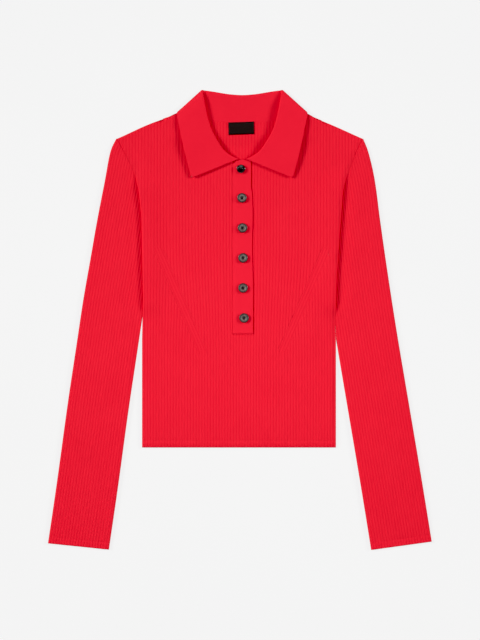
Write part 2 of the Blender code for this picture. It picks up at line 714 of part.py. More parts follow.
class Sleeve:
    """A sleeve: a flattened tube whose columns run down it beside its outer edge."""

    def __init__(self, side):
        self.side = side
        column = "left_x" if side < 0 else "right_x"
        self.edge = [Vector((getattr(row, column), row.y)) for row in EDGE_ROWS]
        lengths = [(b - a).length for a, b in zip(self.edge, self.edge[1:])]
        self.stops = [sum(lengths[:n]) for n in range(len(self.edge))]
        self.cuff = CUFFS[0] if side < 0 else CUFFS[1]
        tail = (self.cuff.end_y - self.edge[-1].y) / (self.edge[-2].y - self.edge[-1].y)
        self.length = self.stops[-1] - tail * lengths[-1]
        self.pitch = SLEEVE_WIDTH / SLEEVE_RIBS

    def edge_point(self, run):
        """Return the outer edge's point at a run along it."""
        run = min(self.stops[-1], max(0.0, run))
        for index in range(len(self.stops) - 1):
            if run <= self.stops[index + 1]:
                share = (run - self.stops[index]) / (self.stops[index + 1] - self.stops[index])
                return self.edge[index].lerp(self.edge[index + 1], share)
        return self.edge[-1].copy()

    def point(self, run, across):
        """Return the plan point at a run down the sleeve and a distance in from its edge."""
        ahead = self.edge_point(run + 20.0) - self.edge_point(run - 20.0)
        ahead.normalize()
        inward = Vector((ahead.y, -ahead.x)) * self.side
        return self.edge_point(run) + inward * across

    def inset(self, run, across, extra=0.0, with_groove=False):
        """Return how far a point is outside the armhole seam, less extra."""
        spot = self.point(run, across)
        away = self.side * (spot.x - side_edge(self.side, spot.y))
        if with_groove:
            away -= groove_width(self.side, spot.y)
        return away - extra

    def crossing(self, across, extra, with_groove):
        """Return the run at which a column is extra outside the seam or the groove."""
        low, high = -5.0, 420.0
        for _ in range(40):
            middle = 0.5 * (low + high)
            if self.inset(middle, across, extra, with_groove) < 0.0:
                low = middle
            else:
                high = middle
        return max(high, 0.0)

    def runs(self, across):
        """Return the runs of a column's rows, from the armhole seam to the cuff."""
        end = self.length - self.cuff.slant * across
        rows = [self.crossing(across, 0.42, False)]
        for extra in (0.3, 3.4, 12.0):
            rows.append(max(rows[-1] + 2.5, self.crossing(across, extra, True)))
        start = rows[-1]
        rows += [start + (end - start) * share for share in (0.18, 0.42, 0.68, 0.9, 1.0)]
        return rows

    def top_base(self, spot, run, across):
        """Return the height of the sleeve's top wall without its ribs."""
        away = max(0.0, self.side * (spot.x - side_edge(self.side, spot.y)))
        width = groove_width(self.side, spot.y)
        share = groove_share(spot.y)
        seam = cap_height(spot.y)
        plain = seam + (SLEEVE_LOFT - seam) * smooth(away / SLEEVE_REACH)
        past = away - width
        swell = SLEEVE_LOFT + ROLL_LOFT * math.exp(-max(0.0, past) / ROLL_FADE)
        roll = smooth(past / ROLL_REACH) * swell
        loft = plain * (1.0 - share) + roll * share
        loft *= 0.4 + 0.6 * smooth((self.length - run) / 50.0)
        fold = rounded(across / 4.0) * rounded((SLEEVE_WIDTH - across) / 4.0)
        middle = WALL + 0.5 * SEAM_GAP
        return middle + (2.0 * WALL + SEAM_GAP + loft - middle) * fold

    def rib(self, across):
        """Return the rib height at a distance in from the outer edge."""
        fold = rounded(across / 4.0) * rounded((SLEEVE_WIDTH - across) / 4.0)
        return rib_section(across / self.pitch) * fold

    def column(self, across, kind):
        """Return a column's points from seam to cuff, on one of the tube's skins."""
        points = []
        for run in self.runs(across):
            spot = self.point(run, across)
            if kind == "top":
                height = self.top_base(spot, run, across) + RIB_RISE * self.rib(across)
            elif kind == "ceiling":
                height = self.top_base(spot, run, across) - WALL
            else:
                height = {"edge": WALL + 0.5 * SEAM_GAP, "curl": 0.5, "under": 0.0, "floor": WALL}[kind]
            points.append((spot.x, spot.y, height))
        return points

    def mesh(self, name):
        """Make the tube between its outer skin and its inner one, open at both ends."""
        width = SLEEVE_WIDTH
        outer, matches = [self.column(0.0, "edge")], [0]
        for rib in range(SLEEVE_RIBS):
            for offset in (0.0, RIB_VALLEY, 1.0 - RIB_VALLEY):
                if rib + offset > 0.0:
                    outer.append(self.column((rib + offset) * self.pitch, "top"))
                if rib > 0 and offset == 0.0:
                    matches.append(len(outer) - 1)
        outer.append(self.column(width, "edge"))
        matches.append(len(outer) - 1)
        outer.append(self.column(width - 0.6, "curl"))
        for rib in range(SLEEVE_RIBS - 1, 0, -1):
            outer.append(self.column(rib * self.pitch, "under"))
            matches.append(len(outer) - 1)
        outer.append(self.column(0.6, "curl"))
        ribs = range(1, SLEEVE_RIBS)
        inner = [self.column(WALL + 0.3, "edge")]
        inner += [self.column(rib * self.pitch, "ceiling") for rib in ribs]
        inner += [self.column(width - WALL - 0.3, "edge")]
        inner += [self.column(rib * self.pitch, "floor") for rib in reversed(ribs)]
        return tube_mesh(name, outer, inner, matches)


def tube_mesh(name, outer, inner, matches):
    """Make an open tube's wall from the columns of its outer and its inner skin.

    matches gives, for each inner column, the outer column that it stands under.
    """
    rows = len(outer[0])
    points = [point for column in outer for point in column]
    first_inner = len(points)
    points += [point for column in inner for point in column]
    faces = []
    for base, columns in ((0, outer), (first_inner, inner)):
        count = len(columns)
        for index in range(count):
            here, there = base + index * rows, base + (index + 1) % count * rows
            for row in range(rows - 1):
                faces.append((here + row, there + row, there + row + 1, here + row + 1))
    for row in (0, rows - 1):
        for index in range(len(inner)):
            start = matches[index]
            end = matches[(index + 1) % len(inner)] or len(outer)
            here = first_inner + index * rows + row
            there = first_inner + (index + 1) % len(inner) * rows + row
            chain = [n % len(outer) * rows + row for n in range(start, end + 1)]
            faces.extend((here, a, b) for a, b in zip(chain, chain[1:]))
            faces.append((here, chain[-1], there))
    return mesh_from(name, points, faces)


# Collar
class CollarSection:
    """One section of the collar strip, placed in the sweater's frame."""

    def __init__(self, row, mirror):
        self.row = row
        self.mirror = mirror
        self.fall = Vector((row.edge_x - row.roll_x, row.edge_y - row.roll_y))
        self.stand = Vector((row.neck_x - row.roll_x, row.neck_y - row.roll_y))
        turn = math.radians(row.turn)
        across = Vector((-self.fall.y, self.fall.x)).normalized()
        self.rise = Vector((across.x * math.sin(turn), across.y * math.sin(turn), math.cos(turn)))
        self.cosine = math.cos(turn)
        self.neck_z = self.neck_height()

    def neck_height(self):
        """Return the middle height of the panel edges that this section is sewn to."""
        x, y = CENTRE_X - self.row.neck_x, self.row.neck_y
        front = front_inside(x, y) + 0.5 * WALL
        back = fall_lift(x, y) + 0.5 * WALL
        share = smooth((self.row.turn - 12.0) / 156.0)
        return front + (back - front) * share

    def place(self, run, share_z, level, leg):
        """Return a point at a run from the roll edge along a leg, raised by level."""
        direction = (self.fall if leg == "fall" else self.stand).normalized()
        x = self.row.roll_x + direction.x * run + self.rise.x * level
        y = self.row.roll_y + direction.y * run + self.rise.y * level
        z = share_z + self.rise.z * level
        return CENTRE_X - self.mirror * x, y, z

    def skin(self, offset):
        """Return the section's points on one skin, offset from its middle, seam to free edge."""
        row = self.row
        radius = row.radius
        roll_run = radius + 0.5 * WALL
        points = []
        stand_length = self.stand.length
        for share in (1.0, 0.66, 0.33):
            run = roll_run + (stand_length - roll_run) * share
            height = row.roll_z + (self.neck_z - row.roll_z) * share
            points.append(self.place(run, height, offset, "stand"))
        for degrees in (-70.0, -25.0, 25.0, 70.0):
            angle = math.radians(degrees)
            reach = radius - offset
            run = roll_run - reach * math.cos(angle)
            level = radius + reach * math.sin(angle)
            leg = "stand" if degrees < 0.0 else "fall"
            points.append(self.place(run, row.roll_z, level, leg))
        fall_length = self.fall.length
        fall_foot = row.roll_z + 2.0 * radius * self.cosine
        for share in (0.05, 0.3, 0.55, 0.8, 1.0):
            run = roll_run + (fall_length - roll_run) * share
            height = row.roll_z + (row.edge_z - fall_foot) * smooth(share)
            points.append(self.place(run, height, 2.0 * radius - offset, "fall"))
        return points


def build_collar(finish):
    """Make the collar: one strip that stands from the neck seam and folds over."""
    half = [CollarSection(row, 1) for row in COLLAR_ROWS]
    other = [CollarSection(row, -1) for row in reversed(COLLAR_ROWS[:-1])]
    sections = half + other
    outer = [section.skin(-0.5 * WALL) for section in sections]
    inner = [section.skin(0.5 * WALL) for section in sections]
    count = len(outer[0])
    points = [point for section in outer + inner for point in section]
    base = len(outer) * count
    faces = []
    for index in range(len(sections) - 1):
        here, there = index * count, (index + 1) * count
        for step in range(count - 1):
            quad = (here + step, there + step, there + step + 1, here + step + 1)
            faces.append(quad)
            faces.append([base + corner for corner in reversed(quad)])
        for rim in (0, count - 1):
            faces.append((here + rim, there + rim, base + there + rim, base + here + rim))
    for end in (0, (len(sections) - 1) * count):
        for step in range(count - 1):
            faces.append((end + step, end + step + 1, base + end + step + 1, base + end + step))
    mesh = mesh_from("collar", points, faces)
    return add_object("collar", mesh, finish, smooth_shaded=True)


# Buttons and label
def button_mesh(name, diameter):
    """Turn a button with a raised rim and a dished middle, and cut its four holes."""
    radius = 0.5 * diameter
    profile = (
        (0.0, 0.0),
        (radius - 0.9, 0.0),
        (radius, 0.8),
        (radius, 1.7),
        (radius - 0.8, BUTTON_THICKNESS),
        (radius - 2.0, BUTTON_THICKNESS - 0.1),
        (0.52 * radius, 1.6),
        (0.0, 1.5),
    )
    work = bmesh.new()
    corners = [work.verts.new(Vector((r, 0.0, z)) * MM) for r, z in profile]
    edges = [work.edges.new(pair) for pair in zip(corners, corners[1:])]
    bmesh.ops.spin(
        work,
        geom=corners + edges,
        cent=(0.0, 0.0, 0.0),
        axis=(0.0, 0.0, 1.0),
        angle=math.tau,
        steps=20,
        use_merge=True,
    )
    bmesh.ops.remove_doubles(work, verts=work.verts[:], dist=0.00001)
    bmesh.ops.recalc_face_normals(work, faces=work.faces[:])
    mesh = bpy.data.meshes.new(name + "_blank")
    work.to_mesh(mesh)
    work.free()
    blank = bpy.data.objects.new(name + "_blank", mesh)
    drill = bpy.data.objects.new(name + "_drill", drill_mesh(name, radius))
    for piece in (blank, drill):
        bpy.context.scene.collection.objects.link(piece)
        piece.hide_render = True
        piece.display_type = "WIRE"
    cut = blank.modifiers.new("holes", "BOOLEAN")
    cut.operation = "DIFFERENCE"
    cut.object = drill
    graph = bpy.context.evaluated_depsgraph_get()
    drilled = bpy.data.meshes.new_from_object(blank.evaluated_get(graph))
    drilled.name = name
    for piece in (blank, drill):
        bpy.data.objects.remove(piece, do_unlink=True)
    return drilled


def drill_mesh(name, radius):
    """Make the four round cutters of a button's holes."""
    work = bmesh.new()
    for quarter in range(4):
        angle = math.radians(45.0 + 90.0 * quarter)
        made = bmesh.ops.create_cone(
            work,
            cap_ends=True,
            segments=8,
            radius1=0.8 * MM,
            radius2=0.8 * MM,
            depth=6.0 * MM,
        )
        centre = Vector((math.cos(angle), math.sin(angle), 0.0)) * 0.27 * radius * MM
        bmesh.ops.translate(work, verts=made["verts"], vec=centre + Vector((0.0, 0.0, 1.2 * MM)))
    mesh = bpy.data.meshes.new(name + "_drill")
    work.to_mesh(mesh)
    work.free()
    return mesh


def build_buttons(horn, black):
    """Place the six buttons a seam's gap above the over band."""
    sizes = (TOP_BUTTON_DIAMETER, BUTTON_DIAMETER)
    shared = {diameter: button_mesh("button", diameter) for diameter in sizes}
    for number, row in enumerate(BUTTON_ROWS, start=1):
        finish = black if row.diameter == TOP_BUTTON_DIAMETER else horn
        button = add_object(f"button_{number}", shared[row.diameter], finish, smooth_shaded=True)
        radius = 0.5 * row.diameter
        around = [(row.x, row.y), (row.x, row.y + radius), (row.x, row.y - radius)]
        seat = max(front_inside(x, y) for x, y in around)
        seat += BAND_WALL + SEAM_GAP + WALL + SEAM_GAP
        button.location = Vector((row.x, row.y, seat)) * MM


def build_label(finish):
    """Make the plain woven label over the back neck seam."""
    width, height, thickness = LABEL_SIZE
    seat = fall_lift(*LABEL_CENTRE) + WALL + 0.3 + SEAM_GAP
    work = bmesh.new()
    made = bmesh.ops.create_cube(work, size=1.0)
    bmesh.ops.scale(work, verts=made["verts"], vec=Vector((width, height, thickness)) * MM)
    mesh = bpy.data.meshes.new("label")
    work.to_mesh(mesh)
    work.free()
    label = add_object("label", mesh, finish)
    label.location = Vector((*LABEL_CENTRE, seat + 0.5 * thickness)) * MM
    label.rotation_euler.z = LABEL_TURN


def main():
    """Build the sweater's pieces."""
    for old in list(bpy.data.objects):
        bpy.data.objects.remove(old, do_unlink=True)
    rib_knit = material("rib_knit", (0.80, 0.016, 0.036), 0.85)
    plain_knit = material("plain_knit", (0.82, 0.018, 0.038), 0.85)
    horn = material("horn", (0.11, 0.09, 0.08), 0.35)
    black = material("black_gloss", (0.012, 0.011, 0.011), 0.2)
    woven = material("woven_label", (0.016, 0.013, 0.013), 0.7)
    build_back(rib_knit)
    build_front(rib_knit)
    for side, name in ((-1, "sleeve_left"), (1, "sleeve_right")):
        add_object(name, Sleeve(side).mesh(name), rib_knit, smooth_shaded=True)
    build_collar(plain_knit)
    build_bands(plain_knit)
    build_buttons(horn, black)
    build_label(woven)


main()
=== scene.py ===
"""The looks of a rib knit polo sweater that lies flat on its back, sleeves drawn down.

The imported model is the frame. Every cloth piece of it is replaced by a finer shell of the same
form: rib knit with real ribs, a folded collar and placket bands in close plain knit, turned
buttons with their thread, seams, and a bare woven label. Sizes are in millimetres until a mesh
is made; +X is the right of the laid sweater as it is looked down on and +Y its collar.
"""

import logging
import math
from dataclasses import dataclass
from enum import Enum
from typing import Callable, NamedTuple, Sequence, Union

import bmesh
import bpy
import numpy as np
from mathutils import Matrix, Vector

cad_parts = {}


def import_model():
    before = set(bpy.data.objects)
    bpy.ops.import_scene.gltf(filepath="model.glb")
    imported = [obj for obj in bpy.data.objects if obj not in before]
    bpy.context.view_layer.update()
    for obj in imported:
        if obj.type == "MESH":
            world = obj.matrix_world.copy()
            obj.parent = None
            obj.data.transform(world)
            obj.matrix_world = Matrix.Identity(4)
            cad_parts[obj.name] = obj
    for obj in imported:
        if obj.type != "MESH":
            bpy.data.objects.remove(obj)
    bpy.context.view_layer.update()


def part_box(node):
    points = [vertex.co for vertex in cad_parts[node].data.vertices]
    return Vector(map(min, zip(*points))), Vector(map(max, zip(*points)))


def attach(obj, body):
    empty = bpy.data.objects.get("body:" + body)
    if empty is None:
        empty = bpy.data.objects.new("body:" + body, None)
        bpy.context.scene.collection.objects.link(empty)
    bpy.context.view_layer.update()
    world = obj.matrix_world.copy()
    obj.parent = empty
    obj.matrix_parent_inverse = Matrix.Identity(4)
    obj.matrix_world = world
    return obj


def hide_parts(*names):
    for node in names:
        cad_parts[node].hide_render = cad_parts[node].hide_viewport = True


LOG = logging.getLogger("sweater")
Input = Union[bpy.types.NodeSocket, float, Sequence[float]]
Surface = Callable[[np.ndarray, np.ndarray], np.ndarray]

# The unit and fine steps, and the collar strip's length laid flat, in metres
MM = 0.001
COLLAR_LENGTH = 0.43
MERGE, SLIVER = 0.000002, 0.000001

# Driving sizes in millimetres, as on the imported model
WALL, BAND_WALL = 1.5, 1.2
SEAM_GAP = 0.3
RIB_RISE, RIB_MEAN = 0.5, 0.75
HEM_Y = -203.6
CENTRE_X = 3.5
BODY_LOFT, CAP_LOFT, SLEEVE_LOFT, ROLL_LOFT = 1.8, 0.6, 1.2, 0.6
CAP_Y, CAP_FADE = 210.0, 40.0
ARMHOLE_RISE, ARMHOLE_REACH = 4.0, 45.0
SEAM_ROUND, ARMHOLE_ROUND = 8.0, 6.0
GROOVE_SPREAD, GROOVE_FADE = 1.12, 30.0
ROLL_REACH, ROLL_FADE = 16.0, 30.0
SLEEVE_REACH = 25.0
SLEEVE_WIDTH, SLEEVE_RIBS = 98.0, 22
FALL_LIFT = WALL + SEAM_GAP
LIFT_FOOT_Y, LIFT_HEAD_Y = 276.0, 298.0
LIFT_HALF_INNER, LIFT_HALF_OUTER = 106.0, 128.0
SHOULDER_LINE_Y, SHOULDER_SLOPE = 372.0, 0.41
NECK_BOW = 2.0
PLACKET_LEFT, PLACKET_RIGHT = -12.8, 20.5
PLACKET_FOOT, PLACKET_TOP = -22.1, 255.6
UNDER_BAND_LEFT, OVER_BAND_RIGHT = -5.0, 19.7
WELT, WELT_DEPTH, WELT_WIDTH = 11.0, 0.28, 0.7
PLAIN_WALE = 1.15

# A step between two rows that stand for one sudden edge, and a rib's columns as shares of it
STEP = 0.02
RIB_STEPS = np.array([0.0, 0.1, 0.24, 0.5, 0.76, 0.9])


class Side(Enum):
    """A side of the laid sweater, as it is looked down on."""

    LEFT = -1
    RIGHT = 1

    @property
    def word(self) -> str:
        """Return the side's name as the tables' columns and the nodes have it."""
        return self.name.lower()


class SideRow(NamedTuple):
    """The body's two side edges at one height, and the width of the groove beside each."""

    y: float
    left: float
    right: float
    left_groove: float
    right_groove: float


SIDE_ROWS = (
    SideRow(290.6, -197.6, 196.8, 0.0, 0.0),
    SideRow(271.0, -186.4, 187.2, 0.0, 1.0),
    SideRow(247.0, -174.4, 178.1, 0.8, 3.2),
    SideRow(231.0, -168.3, 171.7, 3.5, 5.6),
    SideRow(208.6, -163.2, 165.6, 6.4, 9.0),
    SideRow(160.6, -158.4, 161.6, 10.4, 8.8),
    SideRow(112.6, -157.4, 158.1, 11.7, 10.0),
    SideRow(64.6, -156.2, 155.2, 11.2, 10.4),
    SideRow(32.6, -155.5, 153.9, 8.8, 8.8),
    SideRow(3.8, -156.2, 153.3, 0.8, 4.0),
    SideRow(-15.4, -156.5, 153.0, 0.0, 0.8),
    SideRow(-31.4, -156.8, 153.6, 0.0, 0.0),
    SideRow(HEM_Y, -156.8, 153.6, 0.0, 0.0),
)


class EdgeRow(NamedTuple):
    """A point of each sleeve's outer edge, from the shoulder tip to the cuff."""

    left_x: float
    right_x: float
    y: float


EDGE_ROWS = (
    EdgeRow(-198.2, 197.2, 291.2),
    EdgeRow(-207.0, 204.8, 272.6),
    EdgeRow(-216.4, 216.0, 224.6),
    EdgeRow(-228.8, 224.5, 160.6),
    EdgeRow(-240.0, 233.6, 96.6),
    EdgeRow(-251.2, 243.2, 32.6),
    EdgeRow(-260.8, 253.4, -31.4),
    EdgeRow(-275.2, 269.6, -127.4),
    EdgeRow(-292.8, 291.2, -255.4),
    EdgeRow(-307.2, 307.2, -354.0),
    EdgeRow(-308.7, 308.8, -364.0),
)


class SideCut(NamedTuple):
    """What differs between the two sides: shoulder bow, cuff, and rib counts."""

    bulge: float
    cuff_y: float
    cuff_slant: float
    chest_ribs: int
    hem_ribs: int
    edge_distance: float


SIDE_CUTS = {
    Side.LEFT: SideCut(3.0, -357.0, 0.045, 32, 35, 160.5),
    Side.RIGHT: SideCut(1.2, -354.2, 0.022, 30, 33, 150.5),
}


class CollarRow(NamedTuple):
    """One section of half the collar, as distances from its centre line.

    The strip runs from the neck seam to the roll line, turns over and falls to its free edge.
    turn is 0 where the fall lies above the stand and 180 where it lies beneath.
    """

    roll_x: float
    roll_y: float
    roll_z: float
    edge_x: float
    edge_y: float
    edge_z: float
    neck_x: float
    neck_y: float
    turn: float
    radius: float


COLLAR_ROWS = (
    CollarRow(5.9, 257.9, 5.4, 80.8, 227.4, 8.4, 9.4, 257.0, 0.0, 1.25),
    CollarRow(15.6, 262.4, 5.6, 84.0, 238.4, 9.0, 20.2, 258.6, 0.0, 1.25),
    CollarRow(28.2, 271.4, 5.8, 87.5, 251.8, 9.6, 35.9, 265.3, 0.0, 1.25),
    CollarRow(38.6, 286.4, 6.0, 92.0, 269.4, 10.2, 52.6, 278.4, 0.0, 1.25),
    CollarRow(48.4, 304.0, 6.0, 96.0, 287.0, 10.4, 65.4, 293.8, 0.0, 1.25),
    CollarRow(55.2, 324.6, 6.0, 99.7, 304.6, 10.2, 76.4, 308.8, 0.0, 1.25),
    CollarRow(59.4, 344.7, 6.0, 102.1, 318.2, 9.4, 83.7, 323.9, 12.0, 1.25),
    CollarRow(61.6, 358.2, 5.7, 102.8, 325.5, 8.0, 87.5, 331.0, 40.0, 1.2),
    CollarRow(62.4, 364.0, 5.1, 102.8, 328.7, 7.4, 89.0, 333.5, 66.0, 1.15),
    CollarRow(62.4, 367.1, 4.4, 102.5, 330.9, 4.4, 89.6, 334.4, 90.0, 1.1),
    CollarRow(61.2, 367.9, 3.4, 100.9, 330.3, 0.8, 88.6, 333.8, 135.0, 1.0),
    CollarRow(57.9, 367.8, 2.56, 98.0, 323.6, 0.76, 84.8, 331.5, 165.0, 0.92),
    CollarRow(48.3, 366.7, 2.55, 89.5, 313.6, 0.75, 73.6, 326.0, 180.0, 0.9),
    CollarRow(35.2, 364.6, 2.55, 67.2, 305.8, 0.75, 54.4, 320.5, 180.0, 0.9),
    CollarRow(19.2, 362.2, 2.55, 35.2, 302.2, 0.75, 29.6, 317.3, 180.0, 0.9),
    CollarRow(0.0, 361.0, 2.55, 0.0, 301.4, 0.75, 0.0, 316.2, 180.0, 0.9),
)
FIRST_NECK_ROW, SHOULDER_ROW = 1, 9
SEAM_FEET = {Side.LEFT: 5.0, Side.RIGHT: -8.0}


class Wander(NamedTuple):
    """How far the placket's right side strays from a straight line at one height."""

    y: float
    stray: float


PLACKET_WANDER = (
    Wander(256.0, -1.7),
    Wander(214.0, -1.7),
    Wander(202.0, -0.1),
    Wander(188.0, 0.4),
    Wander(167.0, 0.9),
    Wander(140.0, 0.3),
    Wander(118.0, 0.0),
    Wander(96.0, 0.2),
    Wander(72.0, 0.9),
    Wander(50.0, 1.4),
    Wander(-24.0, 1.5),
)


class ButtonRow(NamedTuple):
    """A button's centre on the placket, and the turn of its thread in degrees."""

    x: float
    y: float
    turn: float


BUTTON_ROWS = (
    ButtonRow(1.6, 242.2, 8.0),
    ButtonRow(3.2, 195.8, -14.0),
    ButtonRow(4.0, 147.8, 21.0),
    ButtonRow(4.8, 99.8, 3.0),
    ButtonRow(4.8, 51.8, -9.0),
    ButtonRow(6.4, 3.8, 16.0),
)


class Crease(NamedTuple):
    """A soft trough, or a ridge where its height is positive, from one end to the other."""

    start_x: float
    start_y: float
    end_x: float
    end_y: float
    width: float
    height: float


BODY_CREASES = (
    Crease(-152.0, 58.0, -104.0, 22.0, 9.0, -0.55),
    Crease(-154.0, 20.0, -98.0, -22.0, 12.0, 0.45),
    Crease(-150.0, -34.0, -92.0, -64.0, 11.0, -0.45),
    Crease(148.0, 44.0, 108.0, 12.0, 9.0, -0.55),
    Crease(151.0, 8.0, 92.0, -34.0, 12.0, 0.45),
    Crease(148.0, -52.0, 88.0, -78.0, 11.0, -0.4),
    Crease(-124.0, 282.0, -146.0, 214.0, 11.0, -0.4),
    Crease(128.0, 280.0, 148.0, 208.0, 11.0, -0.4),
    Crease(-60.0, 214.0, -28.0, 168.0, 14.0, -0.35),
    Crease(72.0, 206.0, 40.0, 154.0, 14.0, -0.35),
    Crease(-30.0, 30.0, -24.0, -40.0, 8.0, 0.3),
    Crease(34.0, 44.0, 40.0, -46.0, 9.0, 0.3),
    Crease(-84.0, -120.0, -30.0, -150.0, 16.0, -0.4),
    Crease(26.0, -112.0, 104.0, -138.0, 17.0, -0.4),
    Crease(-6.0, -168.0, 62.0, -182.0, 12.0, 0.3),
)
SLEEVE_CREASES = (
    Crease(14.0, 118.0, 58.0, 146.0, 11.0, -0.5),
    Crease(84.0, 176.0, 40.0, 204.0, 12.0, 0.45),
    Crease(12.0, 246.0, 64.0, 268.0, 12.0, -0.5),
    Crease(88.0, 300.0, 46.0, 326.0, 13.0, -0.45),
    Crease(16.0, 352.0, 60.0, 380.0, 13.0, 0.4),
    Crease(82.0, 420.0, 36.0, 452.0, 15.0, -0.45),
    Crease(20.0, 512.0, 70.0, 540.0, 15.0, -0.35),
)


class RowZone(NamedTuple):
    """A stretch of a panel's height with evenly spaced rows."""

    start: float
    end: float
    spacing: float


# Curves and heights
def column(table: Sequence[NamedTuple], field: str) -> list[float]:
    """Return one named column of a table."""
    return [getattr(row, field) for row in table]


def smooth(value: np.ndarray | float) -> np.ndarray:
    """Return a soft step from 0 to 1 as value goes from 0 to 1."""
    value = np.clip(value, 0.0, 1.0)
    return value * value * (3.0 - 2.0 * value)


def grow(start: float, value: np.ndarray | float) -> np.ndarray:
    """Return a soft rise from start to 1 as value goes from 0 to 1."""
    return start + (1.0 - start) * smooth(value)


def rounded(value: np.ndarray | float) -> np.ndarray:
    """Return the height of a quarter circle as value goes from 0 to 1."""
    value = np.clip(value, 0.0, 1.0)
    return np.sqrt(np.maximum(0.0, 1.0 - (1.0 - value) ** 2))


def edge_drop(depth: float, distance: np.ndarray, radius: float) -> np.ndarray:
    """Return how far a surface rounds down near its edge, which lies at distance 0."""
    return depth * (1.0 - rounded(distance / radius))


def welt_dip(from_end: np.ndarray) -> np.ndarray:
    """Return the depth of the fine line that runs along a hem or cuff."""
    return WELT_DEPTH * np.exp(-(((from_end - WELT) / WELT_WIDTH) ** 2))


def rib_section(phase: np.ndarray) -> np.ndarray:
    """Return a rib's height, 0 in a narrow valley and 1 over most of its top."""
    return 1.0 - (1.0 - np.abs(np.sin(np.pi * phase))) ** 1.4


def rib_places(first: int, end: int) -> np.ndarray:
    """Return where a grid's columns cross the ribs from first up to end, in rib numbers."""
    return (np.arange(first, end)[:, None] + RIB_STEPS[None, :]).ravel()


def run_lengths(points: np.ndarray) -> np.ndarray:
    """Return how far along a path each of its points lies."""
    steps = np.linalg.norm(np.diff(points, axis=0), axis=1)
    return np.concatenate(([0.0], np.cumsum(steps)))


def crease_height(creases: Sequence[Crease], x: np.ndarray, y: np.ndarray) -> np.ndarray:
    """Return what soft creases add to a surface.

    Args:
        creases: The troughs and ridges, in the surface's own coordinates.
        x: Each point's first coordinate.
        y: Each point's second coordinate.

    Returns:
        The height to add at each point, in millimetres.
    """
    total = np.zeros(np.broadcast(x, y).shape)
    for crease in creases:
        run_x, run_y = crease.end_x - crease.start_x, crease.end_y - crease.start_y
        square = run_x**2 + run_y**2
        share = ((x - crease.start_x) * run_x + (y - crease.start_y) * run_y) / square
        near = np.clip(share, 0.0, 1.0)
        gap_x = x - crease.start_x - near * run_x
        gap_y = y - crease.start_y - near * run_y
        fade = 0.35 + 0.65 * np.sin(np.pi * np.clip(near, 0.04, 0.96)) ** 0.8
        total = total + crease.height * fade * np.exp(-(gap_x**2 + gap_y**2) / crease.width**2)
    return total


class Profile:
    """A smooth curve through a table's values that never swings past them."""

    def __init__(self, places: Sequence[float], values: Sequence[float]) -> None:
        """Find the curve's slopes.

        Args:
            places: Where the values are known, in any order.
            values: The value at each place.
        """
        order = np.argsort(places)
        self.places = np.asarray(places, float)[order]
        self.values = np.asarray(values, float)[order]
        slopes = np.diff(self.values) / np.diff(self.places)
        before, after = slopes[:-1], slopes[1:]
        total = np.where(before * after > 0.0, before + after, 1.0)
        inner = np.where(before * after > 0.0, 2.0 * before * after / total, 0.0)
        self.tangents = np.concatenate(([slopes[0]], inner, [slopes[-1]]))

    def __call__(self, place: np.ndarray | float) -> np.ndarray:
        """Read the curve.

        Args:
            place: One place or many; past the table's ends the curve stays level.

        Returns:
            The value at each place.
        """
        place = np.clip(place, self.places[0], self.places[-1])
        last = len(self.places) - 2
        index = np.clip(np.searchsorted(self.places, place, side="right") - 1, 0, last)
        width = self.places[index + 1] - self.places[index]
        share = (place - self.places[index]) / width
        start, end = self.values[index], self.values[index + 1]
        leave, arrive = self.tangents[index] * width, self.tangents[index + 1] * width
        cubic, square = share**3, share**2
        value = (2.0 * cubic - 3.0 * square + 1.0) * start + (3.0 * square - 2.0 * cubic) * end
        return value + (cubic - 2.0 * square + share) * leave + (cubic - square) * arrive


